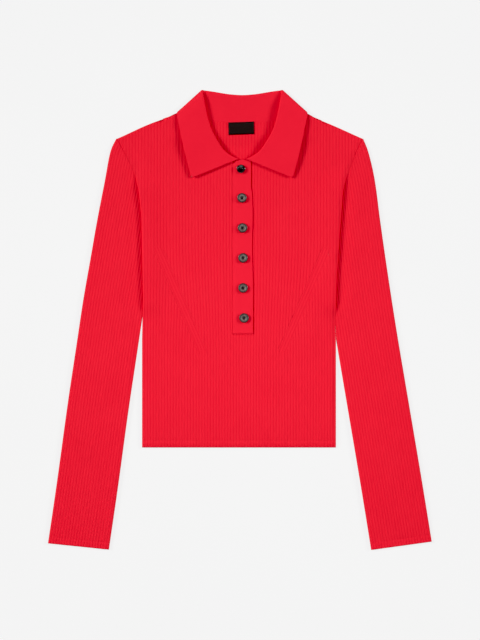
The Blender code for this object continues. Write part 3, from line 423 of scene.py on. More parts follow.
class BodyPlan:
    """The body's outline and its surfaces' heights, which every piece on it shares."""

    dart_head_y, dart_foot_y = 117.0, -49.0
    dart_head_distance, dart_foot_distance = 136.0, 64.0
    dart_half_width, dart_ribs = 7.2, 3
    pitch_low_y, pitch_high_y = -60.0, 130.0
    hem_loft, shoulder_loft, loft_reach = 0.35, 0.3, 60.0
    bow_start, bow_rise, bow_end = 0.28, 0.14, 0.1
    neck_drop = 0.8
    samples = 2000

    def __init__(self) -> None:
        """Read the outline's curves from the tables."""
        heights = column(SIDE_ROWS, "y")
        self._edges, self._grooves = {}, {}
        for side in Side:
            self._edges[side] = Profile(heights, column(SIDE_ROWS, side.word))
            self._grooves[side] = Profile(heights, column(SIDE_ROWS, f"{side.word}_groove"))
        corners = [self._neck_corner(row) for row in COLLAR_ROWS[: SHOULDER_ROW + 1]]
        front = corners[FIRST_NECK_ROW:]
        self.neck_x, self.neck_y = front[-1]
        self.neck_foot_y = front[0][1] - self.neck_drop
        self._front_neck = Profile([y for _, y in front], [x for x, _ in front])
        back = [self._neck_corner(row) for row in COLLAR_ROWS[SHOULDER_ROW:]]
        self._back_neck = Profile([x for x, _ in back], [y for _, y in back])
        self._shoulders = {side: self._shoulder(side) for side in Side}
        self.stray = Profile(column(PLACKET_WANDER, "y"), column(PLACKET_WANDER, "stray"))
        self.tip_y = SIDE_ROWS[0].y

    @staticmethod
    def _neck_corner(row: CollarRow) -> tuple[float, float]:
        """Return the panel's neck corner beside a collar row, a seam's gap from the strip."""
        away = Vector((row.neck_x - row.roll_x, row.neck_y - row.roll_y)).normalized()
        return row.neck_x + away.x * SEAM_GAP, row.neck_y + away.y * SEAM_GAP

    def _shoulder(self, side: Side) -> tuple[np.ndarray, np.ndarray]:
        """Find a shoulder's edge, a line from the tip to the neck that bows a little.

        Args:
            side: The shoulder's side.

        Returns:
            The edge's rising heights, and its distance from the centre line at each.
        """
        tip_x = getattr(SIDE_ROWS[0], side.word)
        reach = side.value * (tip_x - CENTRE_X)
        share = np.linspace(1.0, 0.0, 60)
        bow = SIDE_CUTS[side].bulge * (4.0 * share * (1.0 - share)) ** 2
        neck = smooth((self.bow_start - share) / self.bow_rise) * smooth(share / self.bow_end)
        bow = bow + NECK_BOW * neck
        heights = self.neck_y + share * (SIDE_ROWS[0].y - self.neck_y) + bow
        return np.maximum.accumulate(heights), self.neck_x + share * (reach - self.neck_x)

    def side_edge(self, side: Side, y: np.ndarray) -> np.ndarray:
        """Return the x of a side edge."""
        return self._edges[side](y)

    def groove(self, side: Side, y: np.ndarray) -> np.ndarray:
        """Return the width of the groove beside a side edge."""
        return GROOVE_SPREAD * self._grooves[side](y)

    def outer(self, side: Side, y: np.ndarray) -> np.ndarray:
        """Find how far the body reaches.

        Args:
            side: The side looked at.
            y: The heights.

        Returns:
            The distance from the centre line at each height.
        """
        edge = side.value * (self.side_edge(side, y) - CENTRE_X)
        heights, distances = self._shoulders[side]
        return np.where(y <= self.tip_y, edge, np.interp(y, heights, distances))

    def front_inner(self, side: Side, y: np.ndarray) -> np.ndarray:
        """Find where the front starts: at its centre line, its placket or its neck edge.

        Args:
            side: The side looked at.
            y: The heights.

        Returns:
            The distance from the centre line at each height.
        """
        placket = PLACKET_RIGHT + self.stray(y) if side is Side.RIGHT else PLACKET_LEFT
        placket = side.value * (placket - CENTRE_X)
        beside = np.where(y > PLACKET_FOOT + 0.5 * STEP, placket, 0.0)
        return np.where(y > self.neck_foot_y, self._front_neck(y), beside)

    def back_top(self, distance: np.ndarray, side: Side) -> np.ndarray:
        """Find the back's upper edge: the neck curve, and the shoulder beyond it.

        Args:
            distance: The distances from the centre line.
            side: The side looked at.

        Returns:
            The edge's height at each distance.
        """
        heights, distances = self._shoulders[side]
        shoulder = np.interp(distance, distances[::-1], heights[::-1])
        return np.where(distance < self.neck_x, self._back_neck(distance), shoulder)

    def back_inner(self, y: np.ndarray) -> np.ndarray:
        """Return where the back starts: at its centre line or at its neck edge."""
        distance = np.linspace(0.0, self.neck_x, 400)
        return np.interp(y, self._back_neck(distance), distance)

    def pitch(self, side: Side, y: np.ndarray) -> np.ndarray:
        """Find the rib spacing, wide at the chest and narrow at the hem.

        Args:
            side: The side looked at.
            y: The heights.

        Returns:
            The spacing at each height, in millimetres.
        """
        cut = SIDE_CUTS[side]
        chest, hem = cut.edge_distance / cut.chest_ribs, cut.edge_distance / cut.hem_ribs
        share = (y - self.pitch_low_y) / (self.pitch_high_y - self.pitch_low_y)
        return hem + (chest - hem) * smooth(share)

    def dart(self, y: np.ndarray) -> tuple[np.ndarray, np.ndarray]:
        """Find the slanted shaping band that parts the middle's ribs from the side's.

        Args:
            y: The heights.

        Returns:
            The band's inner and outer edge, as distances from the centre line. They are the
            same where there is no band.
        """
        share = (y - self.dart_foot_y) / (self.dart_head_y - self.dart_foot_y)
        share = np.clip(share, 0.0, 1.0)
        spread = self.dart_head_distance - self.dart_foot_distance
        middle = self.dart_foot_distance + share * spread
        shown = (y >= self.dart_foot_y) & (y <= self.dart_head_y)
        half = np.where(shown, self.dart_half_width, 0.0)
        return middle - half, middle + half

    def lift(self, x: np.ndarray, y: np.ndarray) -> np.ndarray:
        """Find how far the back panel rises over the collar's fall, which lies beneath it.

        Args:
            x: Each point's place across the body.
            y: Each point's height in plan.

        Returns:
            The rise at each point.
        """
        rise = smooth((y - LIFT_FOOT_Y) / (LIFT_HEAD_Y - LIFT_FOOT_Y))
        distance = np.abs(x - CENTRE_X)
        reach = smooth((LIFT_HALF_OUTER - distance) / (LIFT_HALF_OUTER - LIFT_HALF_INNER))
        return FALL_LIFT * rise * reach

    def inset(self, x: np.ndarray, y: np.ndarray) -> np.ndarray:
        """Return how far inside the nearer side edge a point is.

        Args:
            x: Each point's place across the body.
            y: Each point's height in plan.

        Returns:
            The distance at each point, 0 outside.
        """
        left = x - self.side_edge(Side.LEFT, y)
        right = self.side_edge(Side.RIGHT, y) - x
        return np.maximum(0.0, np.minimum(left, right))

    def inside(self, x: np.ndarray, y: np.ndarray) -> np.ndarray:
        """Find the height of the front panel's inside, over the back and the air between.

        Args:
            x: Each point's place across the body.
            y: Each point's height in plan.

        Returns:
            The inside's height above the floor at each point.
        """
        seam, share, inset = cap_height(y), groove_share(y), self.inset(x, y)
        near = smooth((ARMHOLE_REACH - inset) / (ARMHOLE_REACH - SEAM_ROUND))
        rise = ARMHOLE_RISE * share * near
        soft, full = smooth(inset / SEAM_ROUND), rounded(inset / ARMHOLE_ROUND)
        loft = seam + (BODY_LOFT + rise - seam) * (soft * (1.0 - share) + full * share)
        hem = grow(self.hem_loft, (y - HEM_Y) / self.loft_reach)
        below = SHOULDER_LINE_Y - SHOULDER_SLOPE * np.abs(x - CENTRE_X) - y
        shoulder = grow(self.shoulder_loft, below / self.loft_reach)
        return WALL + SEAM_GAP + self.lift(x, y) + loft * hem * shoulder

    def area(self, inner: Callable[[Side, np.ndarray], np.ndarray]) -> float:
        """Measure a body panel's flat area.

        Args:
            inner: Gives where the panel starts on a side, at each height.

        Returns:
            The area in square metres.
        """
        heights = np.linspace(HEM_Y, self.neck_y, self.samples)
        widths = [self.outer(side, heights) - inner(side, heights) for side in Side]
        return float(np.trapz(sum(widths), heights)) * MM * MM


def cap_height(y: np.ndarray) -> np.ndarray:
    """Return how far the shoulder's seam is lifted off the cloth beneath it."""
    return CAP_LOFT * smooth((y - CAP_Y) / CAP_FADE)


def groove_share(y: np.ndarray) -> np.ndarray:
    """Return 1 where the groove beside the body is full and 0 above and below it."""
    return smooth(y / GROOVE_FADE) * (1.0 - smooth((y - CAP_Y) / CAP_FADE))


# Meshes
def grid_object(
    name: str, points: np.ndarray, uv: np.ndarray, closed: bool = False
) -> bpy.types.Object:
    """Make a piece from a grid of points.

    Args:
        name: The piece's name.
        points: Rows by columns by 3, in millimetres.
        uv: Rows by columns by 2, the knit's own coordinates.
        closed: Whether the last column joins the first, which makes a tube.

    Returns:
        The piece, linked to the scene, with coinciding points merged.
    """
    rows, columns = points.shape[:2]
    if closed:
        points = np.concatenate((points, points[:, :1]), axis=1)
        columns += 1
    work = bmesh.new()
    bmesh.ops.create_grid(work, x_segments=columns - 1, y_segments=rows - 1, size=1.0)
    layer = work.loops.layers.uv.new("knit")
    for vertex in work.verts:
        column = round((vertex.co.x + 1.0) * 0.5 * (columns - 1))
        row = round((vertex.co.y + 1.0) * 0.5 * (rows - 1))
        vertex.index = row * columns + column
    flat_uv = uv.reshape(-1, 2)
    for face in work.faces:
        for loop in face.loops:
            loop[layer].uv = flat_uv[loop.vert.index]
    flat = points.reshape(-1, 3) * MM
    for vertex in work.verts:
        vertex.co = flat[vertex.index]
    bmesh.ops.remove_doubles(work, verts=work.verts[:], dist=MERGE)
    bmesh.ops.dissolve_degenerate(work, edges=work.edges[:], dist=SLIVER)
    bmesh.ops.recalc_face_normals(work, faces=work.faces[:])
    return link(name, work)


def link(name: str, work: bmesh.types.BMesh) -> bpy.types.Object:
    """Turn a finished bmesh into a smooth piece in the scene.

    Args:
        name: The piece's name.
        work: The mesh, which is freed.

    Returns:
        The piece.
    """
    mesh = bpy.data.meshes.new(name)
    work.to_mesh(mesh)
    work.free()
    mesh.shade_smooth()
    piece = bpy.data.objects.new(name, mesh)
    bpy.context.scene.collection.objects.link(piece)
    return piece


def face_up(piece: bpy.types.Object, above: float = -1.0) -> None:
    """Turn a piece's faces so that most of those above a level point up.

    Args:
        piece: An open sheet, or a flattened tube.
        above: The level in millimetres; below it, faces aren't asked.
    """
    work = bmesh.new()
    work.from_mesh(piece.data)
    asked = [face for face in work.faces if face.calc_center_median().z > above * MM]
    if sum(face.normal.z * face.calc_area() for face in asked) < 0.0:
        bmesh.ops.reverse_faces(work, faces=work.faces[:])
    work.to_mesh(piece.data)
    work.free()


def thicken(piece: bpy.types.Object, thickness: float, offset: float) -> None:
    """Give a sheet its wall.

    Args:
        piece: The sheet.
        thickness: The wall in millimetres.
        offset: Which side it grows to: -1 inwards, 0 both ways, 1 outwards.
    """
    wall = piece.modifiers.new("wall", "SOLIDIFY")
    wall.thickness = thickness * MM
    wall.offset = offset
    wall.use_rim = True


def tube_object(name: str, path: np.ndarray, radius: float, sides: int = 6) -> bpy.types.Object:
    """Make a thin round thread or bead along a path.

    Args:
        name: The piece's name.
        path: The path's points, in millimetres.
        radius: The thread's radius, in millimetres.
        sides: How many sides it has round it.

    Returns:
        The piece.
    """
    ahead = np.gradient(path, axis=0)
    ahead /= np.linalg.norm(ahead, axis=1)[:, None]
    across = np.cross(ahead, (0.0, 0.0, 1.0))
    across /= np.maximum(np.linalg.norm(across, axis=1)[:, None], 1e-6)
    up = np.cross(across, ahead)
    angles = np.linspace(0.0, math.tau, sides, endpoint=False)
    cosines, sines = np.cos(angles)[None, :, None], np.sin(angles)[None, :, None]
    points = path[:, None] + radius * (cosines * across[:, None] + sines * up[:, None])
    uv = np.zeros((len(path), sides + 1, 2))
    uv[..., 0] = np.linspace(0.0, 1.0, sides + 1)[None, :]
    uv[..., 1] = run_lengths(path)[:, None]
    return grid_object(name, points, uv, closed=True)


# Materials
class Graph:
    """A small helper that adds shader nodes and wires them."""

    def __init__(self, name: str) -> None:
        """Start a material that holds a Principled shader.

        Args:
            name: The material's name.
        """
        self.material = bpy.data.materials.new(name)
        self.material.use_nodes = True
        self.nodes = self.material.node_tree.nodes
        self.links = self.material.node_tree.links
        self.shader = self.nodes["Principled BSDF"]

    def add(self, kind: str, inputs: dict | None = None, **settings: str) -> bpy.types.Node:
        """Add a node.

        Args:
            kind: The node's type.
            inputs: Values or sockets for its inputs, by name or number.
            settings: Its properties.

        Returns:
            The node.
        """
        node = self.nodes.new(kind)
        for key, value in settings.items():
            setattr(node, key, value)
        for key, value in (inputs or {}).items():
            self.put(node.inputs[key], value)
        return node

    def put(self, socket: bpy.types.NodeSocket, value: Input) -> None:
        """Wire a socket, or set its value.

        Args:
            socket: The input.
            value: Another node's output, or the value.
        """
        if isinstance(value, bpy.types.NodeSocket):
            self.links.new(value, socket)
        else:
            socket.default_value = value

    def math(self, operation: str, first: Input, second: Input = 0.0) -> bpy.types.NodeSocket:
        """Add a Math node and return its result."""
        node = self.add("ShaderNodeMath", {0: first, 1: second}, operation=operation)
        return node.outputs[0]

    def times(self, *factors: Input) -> bpy.types.NodeSocket:
        """Multiply values.

        Args:
            factors: Two or more numbers or sockets.

        Returns:
            The product.
        """
        product = factors[0]
        for factor in factors[1:]:
            product = self.math("MULTIPLY", product, factor)
        return product

    def wave(self, value: Input) -> bpy.types.NodeSocket:
        """Return 0 where a value is whole and 1 half way between, with straight flanks."""
        return self.times(self.math("PINGPONG", value, 0.5), 2.0)

    def ramp(
        self, value: Input, low: float, high: float, to_low: float, to_high: float
    ) -> bpy.types.NodeSocket:
        """Map a value softly from the range low to high onto the range to_low to to_high."""
        sockets = {0: value, 1: low, 2: high, 3: to_low, 4: to_high}
        return self.add("ShaderNodeMapRange", sockets, interpolation_type="SMOOTHSTEP").outputs[0]

    def noise(self, place: Input, scale: float, detail: float = 2.0) -> bpy.types.NodeSocket:
        """Add a noise texture and return its value."""
        sockets = {"Vector": place, "Scale": scale, "Detail": detail}
        return self.add("ShaderNodeTexNoise", sockets).outputs["Fac"]

    def object_place(self) -> bpy.types.NodeSocket:
        """Return the Object coordinates."""
        return self.add("ShaderNodeTexCoord").outputs["Object"]

    def blend(self, share: Input, first: Input, second: Input) -> bpy.types.NodeSocket:
        """Mix two colours.

        Args:
            share: How much of the second there is, from 0 to 1.
            first: The first colour.
            second: The second colour.

        Returns:
            The mixed colour.
        """
        node = self.add("ShaderNodeMix", data_type="RGBA")
        for name, value in (("Factor", share), ("A", first), ("B", second)):
            self.put(node.inputs[name], value)
        return node.outputs["Result"]

    def shade(self, **inputs: Input) -> None:
        """Set or wire the shader's inputs, named with an underscore for each space."""
        for name, value in inputs.items():
            self.put(self.shader.inputs[name.replace("_", " ")], value)

    def bump(self, height: Input, distance: float, strength: float) -> None:
        """Raise the surface by a height, over a distance in millimetres."""
        sockets = {"Height": height, "Distance": distance * MM, "Strength": strength}
        self.shade(Normal=self.add("ShaderNodeBump", sockets).outputs["Normal"])


@dataclass(frozen=True)
class KnitFinish:
    """A knitted cloth's colours and stitch sizes; one unit of u is one rib or one wale."""

    name: str
    colour: tuple[float, float, float]
    # shade: painted shade in the stitch gaps and rib valleys, and the dark end of the random mottle
    shade: tuple[float, float, float]
    wales_per_unit: float
    course: float
    stitch_depth: float
    # Whether the rib valleys get painted shade
    valleys: bool


@dataclass(frozen=True)
class HardFinish:
    """A hard trim's colours and gloss."""

    name: str
    colour: tuple[float, float, float]
    streak: tuple[float, float, float]
    roughness: float
    coat: float


# The shade colours are painted shade in the stitch gaps (and in the rib valleys for the rib knit);
# they also set how dark the random mottle goes
RIB_KNIT = KnitFinish(
    name="rib_knit",
    colour=(0.805, 0.0295, 0.0485),
    shade=(0.64, 0.003, 0.022),
    wales_per_unit=4.0,
    course=1.25,
    stitch_depth=0.12,
    valleys=True,
)
PLAIN_KNIT = KnitFinish(
    name="plain_knit",
    colour=(0.80, 0.0240, 0.0450),
    shade=(0.62, 0.012, 0.029),
    wales_per_unit=1.0,
    course=1.1,
    stitch_depth=0.09,
    valleys=False,
)
THREAD = KnitFinish(
    name="thread",
    colour=(0.76, 0.0240, 0.0450),
    shade=(0.56, 0.010, 0.026),
    wales_per_unit=2.0,
    course=0.9,
    stitch_depth=0.08,
    valleys=False,
)
HORN = HardFinish("horn", (0.175, 0.150, 0.135), (0.060, 0.048, 0.042), 0.34, 0.35)
# Darker horn for the buttons' rims, also laid in their wells as painted shade
HORN_RIM_AND_WELL_SHADE = HardFinish("horn_rim", (0.036, 0.031, 0.029), (0.016, 0.013, 0.012), 0.42, 0.12)
BLACK_GLOSS = HardFinish("black_gloss", (0.010, 0.009, 0.009), (0.004, 0.004, 0.004), 0.12, 1.0)
DARK_THREAD = HardFinish("dark_thread", (0.012, 0.010, 0.010), (0.030, 0.022, 0.022), 0.75, 0.0)


def opaque(colour: Sequence[float]) -> tuple[float, float, float, float]:
    """Return a colour with full alpha."""
    return (*colour, 1.0)


def knit_material(finish: KnitFinish) -> bpy.types.Material:
    """Make a knit: V-shaped stitches in courses, painted shade in valleys, fibre fuzz, soft
    mottling.

    Args:
        finish: The knit's colours and stitch sizes.

    Returns:
        The material, which reads the piece's own knit coordinates.
    """
    graph = Graph(finish.name)
    spot = graph.add("ShaderNodeUVMap", uv_map="knit").outputs["UV"]
    split = graph.add("ShaderNodeSeparateXYZ", {"Vector": spot})
    across, along = split.outputs["X"], split.outputs["Y"]
    centre = graph.wave(graph.times(across, finish.wales_per_unit))
    row = graph.math("DIVIDE", along, finish.course)
    row = graph.math("ADD", row, graph.times(centre, 0.45))
    loop = graph.wave(row)
    stitch = graph.times(graph.math("SQRT", loop), graph.ramp(centre, 0.0, 0.5, 0.25, 1.0))
    place = graph.object_place()
    fuzz = graph.noise(place, 2600.0, 3.0)
    mottle = graph.noise(place, 16.0, 2.0)
    streak = graph.noise(place, 90.0, 1.0)
    # Painted shade: the gaps between the stitch loops darken towards the shade colour; fuzz, mottle
    # and streak are random tone
    tones = [graph.ramp(stitch, 0.0, 0.9, 0.62, 1.0), graph.ramp(fuzz, 0.2, 0.8, 0.86, 1.0)]
    # Painted shade down each rib valley
    if finish.valleys:
        tones.append(graph.ramp(graph.wave(across), 0.0, 0.42, 0.5, 1.0))
    tones.append(graph.ramp(mottle, 0.25, 0.75, 0.93, 1.0))
    tones.append(graph.ramp(streak, 0.25, 0.75, 0.96, 1.0))
    colour = graph.blend(graph.times(*tones), opaque(finish.shade), opaque(finish.colour))
    height = graph.math("ADD", graph.times(stitch, 0.8), graph.times(fuzz, 0.35))
    graph.bump(height, finish.stitch_depth, 0.8)
    graph.shade(Base_Color=colour, Roughness=graph.ramp(fuzz, 0.2, 0.8, 0.86, 0.74))
    graph.shade(Specular_IOR_Level=0.16, Sheen_Weight=0.06, Sheen_Roughness=0.45)
    graph.shade(Sheen_Tint=(1.0, 0.35, 0.38, 1.0))
    return graph.material


def hard_material(finish: HardFinish) -> bpy.types.Material:
    """Make a moulded or turned trim with fine streaks and light wear.

    Args:
        finish: The trim's colours and gloss.

    Returns:
        The material.
    """
    graph = Graph(finish.name)
    place = graph.object_place()
    stretch = graph.add("ShaderNodeMapping", {"Vector": place, "Scale": (1.0, 3.2, 1.0)})
    grain = graph.noise(stretch.outputs["Vector"], 320.0, 4.0)
    share = graph.ramp(grain, 0.35, 0.7, 0.0, 1.0)
    colour = graph.blend(share, opaque(finish.colour), opaque(finish.streak))
    scuff = graph.noise(place, 900.0, 3.0)
    rough = graph.ramp(scuff, 0.3, 0.75, finish.roughness * 0.8, finish.roughness * 1.35)
    graph.bump(scuff, 0.02, 0.3)
    graph.shade(Base_Color=colour, Roughness=rough, Coat_Weight=finish.coat, Coat_Roughness=0.12)
    return graph.material


def tape_material() -> bpy.types.Material:
    """Make the label's black woven tape: fine ribs of weft over warp.

    Returns:
        The material.
    """
    graph = Graph("woven_label")
    place = graph.object_place()
    split = graph.add("ShaderNodeSeparateXYZ", {"Vector": place})
    warp = graph.math("PINGPONG", graph.times(split.outputs["X"], 2400.0), 0.5)
    weft = graph.math("PINGPONG", graph.times(split.outputs["Y"], 3600.0), 0.5)
    weave = graph.math("ADD", warp, weft)
    fuzz = graph.noise(place, 1800.0, 3.0)
    share = graph.times(weave, graph.ramp(fuzz, 0.2, 0.8, 0.6, 1.0))
    colour = graph.blend(share, opaque((0.014, 0.010, 0.010)), opaque((0.034, 0.027, 0.026)))
    graph.bump(weave, 0.05, 0.7)
    graph.shade(Base_Color=colour, Roughness=graph.ramp(fuzz, 0.2, 0.8, 0.75, 0.62))
    graph.shade(Specular_IOR_Level=0.12)
    return graph.material


class Finishes:
    """Every material of the sweater, made once."""

    def __init__(self) -> None:
        """Make the materials."""
        self.rib = knit_material(RIB_KNIT)
        self.plain = knit_material(PLAIN_KNIT)
        self.thread = knit_material(THREAD)
        self.horn = hard_material(HORN)
        self.horn_rim = hard_material(HORN_RIM_AND_WELL_SHADE)
        self.black = hard_material(BLACK_GLOSS)
        self.dark_thread = hard_material(DARK_THREAD)
        self.tape = tape_material()


def dress(piece: bpy.types.Object, material: bpy.types.Material, slot: str, *nodes: str) -> None:
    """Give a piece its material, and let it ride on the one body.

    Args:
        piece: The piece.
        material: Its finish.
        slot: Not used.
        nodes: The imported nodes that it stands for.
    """
    piece.data.materials.clear()
    piece.data.materials.append(material)
    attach(piece, "root")
    if nodes:
        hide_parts(*nodes)
    LOG.info("%s: %s", piece.name, material.name)


# Body panels
BRIDGE_MARGIN = 0.05


def zone_rows(hem: Sequence[float], *zones: RowZone) -> np.ndarray:
    """Return the heights of a panel's rows: close ones at the hem, then zone by zone."""
    return np.concatenate([HEM_Y + np.array(hem), *(np.arange(*zone) for zone in zones)])


def join_halves(halves: dict[Side, np.ndarray]) -> np.ndarray:
    """Return one grid from the columns of two halves, which both count from the centre."""
    return np.concatenate((halves[Side.LEFT][:, ::-1], halves[Side.RIGHT]), axis=1)


def cut_panel(name: str, grid: np.ndarray, uv: np.ndarray) -> bpy.types.Object:
    """Make a body panel, without the faces that bridge a cut-out.

    Args:
        name: The piece's name.
        grid: The points of its two halves, joined.
        uv: The knit's own coordinates at each point.

    Returns:
        The piece, a sheet whose faces point up.
    """
    piece = grid_object(name, grid, uv)
    work = bmesh.new()
    work.from_mesh(piece.data)
    margin = BRIDGE_MARGIN * MM
    bridges = []
    for face in work.faces:
        across = [corner.co.x - CENTRE_X * MM for corner in face.verts]
        if min(across) < -margin and max(across) > margin:
            bridges.append(face)
    bmesh.ops.delete(work, geom=bridges, context="FACES")
    work.to_mesh(piece.data)
    work.free()
    LOG.info("%s: %d bridging faces taken out", name, len(bridges))
    face_up(piece)
    return piece


class FrontPanel:
    """The front: ribs follow the body and its shaping bands, with neck and placket cut out."""

    hem_rows = (0.0, 0.25, 0.7, 1.4, 3.0, 6.0, 9.4, 10.2, 11.0, 11.8, 12.6)
    low_zone, high_zone = RowZone(HEM_Y + 18.0, 250.0, 7.0), RowZone(250.0, 284.0, 2.5)
    top_start, top_spacing = 284.0, 1.4
    beside_cut, clear_of_cut = (-1.2, -0.4, 0.4, 1.2), 1.8
    rim_insets = (2.2, 1.4, 0.8, 0.3, 0.0)
    chest_y, tip_distance, widest_pitch, spare_ribs = 200.0, 205.0, 5.0, 10
    least_band = 0.5
    rib_fade, welt_flatness = 1.6, 0.5
    edge_fall, edge_radius = 0.5, 1.5
    crease_side, crease_hem = 25.0, 20.0
    band_flatness = 0.5
    hem_fall, hem_reach = 0.8, 6.0
    pressed_flatness, pressed_reach = 0.8, 14.0
    shoulder_drop, no_shoulder = 0.39, 9.0

    def __init__(self, plan: BodyPlan) -> None:
        """Keep the body's outline at hand."""
        self.plan = plan

    def rows(self) -> np.ndarray:
        """Find the heights of the grid's rows, closer at its edges and cut-outs.

        Returns:
            The rising heights.
        """
        plan = self.plan
        top = RowZone(self.top_start, plan.neck_y, self.top_spacing)
        plain = zone_rows(self.hem_rows, self.low_zone, self.high_zone, top)
        cuts = np.array([plan.dart_head_y, plan.dart_foot_y, PLACKET_FOOT, plan.neck_foot_y])
        gap = np.abs(plain[:, None] - cuts[None, :]).min(axis=1)
        sharp = np.concatenate((cuts, cuts[:1] + STEP, cuts[1:2] - STEP, cuts[2:] + STEP))
        beside = (cuts[:3, None] + np.array(self.beside_cut)[None, :]).ravel()
        ends = [plan.tip_y, plan.neck_y]
        return np.unique(np.concatenate((plain[gap > self.clear_of_cut], sharp, beside, ends)))

    def columns(self, side: Side, y: np.ndarray) -> tuple[np.ndarray, np.ndarray, np.ndarray]:
        """Lay the grid's columns along the ribs: the middle's, the band's and the side's.

        Args:
            side: The half to lay.
            y: The rows' heights.

        Returns:
            Each point's distance from the centre line, its rib number, and its band, which
            is 1 in the shaping band and 0 beside it.
        """
        plan, cut = self.plan, SIDE_CUTS[side]
        pitch = plan.pitch(side, y)[:, None]
        start, end = (edge[:, None] for edge in plan.dart(y))
        inner = plan.front_inner(side, y)[:, None]
        outer = plan.outer(side, y)[:, None]
        ribs = int(plan.dart_head_distance / plan.pitch(side, self.chest_y)) + 2
        centre = rib_places(0, ribs)[None, :]
        near = np.clip(np.clip(centre * pitch, 0.0, start), inner, outer)
        band = np.append(rib_places(0, plan.dart_ribs), plan.dart_ribs)[None, :]
        middle = np.clip(start + (end - start) * band / plan.dart_ribs, inner, outer)
        beyond = math.ceil((self.tip_distance - cut.edge_distance) / self.widest_pitch)
        far_ribs = rib_places(-beyond, cut.hem_ribs - self.spare_ribs)[::-1][None, :]
        rim = np.maximum(outer - np.array(self.rim_insets)[None, :], inner)
        far = np.maximum(cut.edge_distance - far_ribs * pitch, end)
        far = np.concatenate((np.clip(far, inner, rim[:, :1]), rim[:, 1:]), axis=1)
        shown = end - start > self.least_band
        numbers = [near / pitch, np.where(shown, band, middle / pitch)]
        numbers.append((cut.edge_distance - far) / pitch)
        shown = np.broadcast_to(shown, middle.shape).astype(float)
        bands = [np.zeros_like(near), shown, np.zeros_like(far)]
        parts = [near, middle, far]
        return tuple(np.concatenate(each, axis=1) for each in (parts, numbers, bands))

    @staticmethod
    def _from_collar(distance: np.ndarray, y: np.ndarray) -> np.ndarray:
        """Find how far points lie from the collar leaf's free edge.

        Args:
            distance: Each point's distance from the centre line.
            y: Each point's height in plan.

        Returns:
            The gap between each point and the edge, in millimetres.
        """
        rows = COLLAR_ROWS[: SHOULDER_ROW + 1]
        edge = np.column_stack((column(rows, "edge_x"), column(rows, "edge_y")))
        corners = np.concatenate(([(rows[0].roll_x, rows[0].roll_y)], edge))
        nearest = np.full(distance.shape, np.inf)
        for start, end in zip(corners, corners[1:]):
            run = end - start
            share = ((distance - start[0]) * run[0] + (y - start[1]) * run[1]) / (run @ run)
            share = np.clip(share, 0.0, 1.0)
            gap = np.hypot(distance - start[0] - share * run[0], y - start[1] - share * run[1])
            nearest = np.minimum(nearest, gap)
        return nearest

    def height(self, x: np.ndarray, y: np.ndarray, rib: np.ndarray, top: np.ndarray) -> np.ndarray:
        """Find the outside's height.

        Args:
            x: Each point's place across the body.
            y: Each point's height in plan.
            rib: The rib's height there, from 0 to 1.
            top: How far below the shoulder's edge it lies.

        Returns:
            The height above the floor at each point.
        """
        inset = self.plan.inset(x, y)
        rib = rib * smooth(inset / self.rib_fade)
        welt = welt_dip(y - HEM_Y)
        edge = np.minimum(np.minimum(y - HEM_Y, top), inset)
        drop = edge_drop(self.edge_fall, edge, self.edge_radius)
        drop = drop + self.hem_fall * (1.0 - smooth((y - HEM_Y) / self.hem_reach))
        fade = smooth(inset / self.crease_side) * smooth((y - HEM_Y) / self.crease_hem)
        crease = crease_height(BODY_CREASES, x, y) * fade
        ribbed = WALL + RIB_RISE * rib * (1.0 - self.welt_flatness * welt)
        return self.plan.inside(x, y) + ribbed - welt - drop + crease

    def build(self, finishes: Finishes) -> bpy.types.Object:
        """Make the front.

        Args:
            finishes: The sweater's materials.

        Returns:
            The piece.
        """
        y = self.rows()
        points, knit = {}, {}
        for side in Side:
            distance, number, band = self.columns(side, y)
            x = CENTRE_X + side.value * distance
            rows = np.broadcast_to(y[:, None], x.shape)
            shoulder = self.plan.outer(side, rows) - distance
            top = np.where(rows > self.plan.tip_y, shoulder, self.no_shoulder)
            pressed = smooth(1.0 - self._from_collar(distance, rows) / self.pressed_reach)
            flatness = np.maximum(self.band_flatness * band, self.pressed_flatness * pressed)
            rib = RIB_MEAN + (rib_section(number) - RIB_MEAN) * (1.0 - flatness)
            z = self.height(x, rows, rib, self.shoulder_drop * top)
            points[side] = np.stack((x, rows, z), axis=-1)
            # In the shaping band the painted valley shade is moved half a rib, onto the crests, so
            # that the band's lines show less
            knit[side] = np.stack((number + 0.5 * band, rows), axis=-1)
        piece = cut_panel("front_knit", join_halves(points), join_halves(knit))
        thicken(piece, WALL, -1.0)
        dress(piece, finishes.rib, "rib_knit", "front")
        return piece


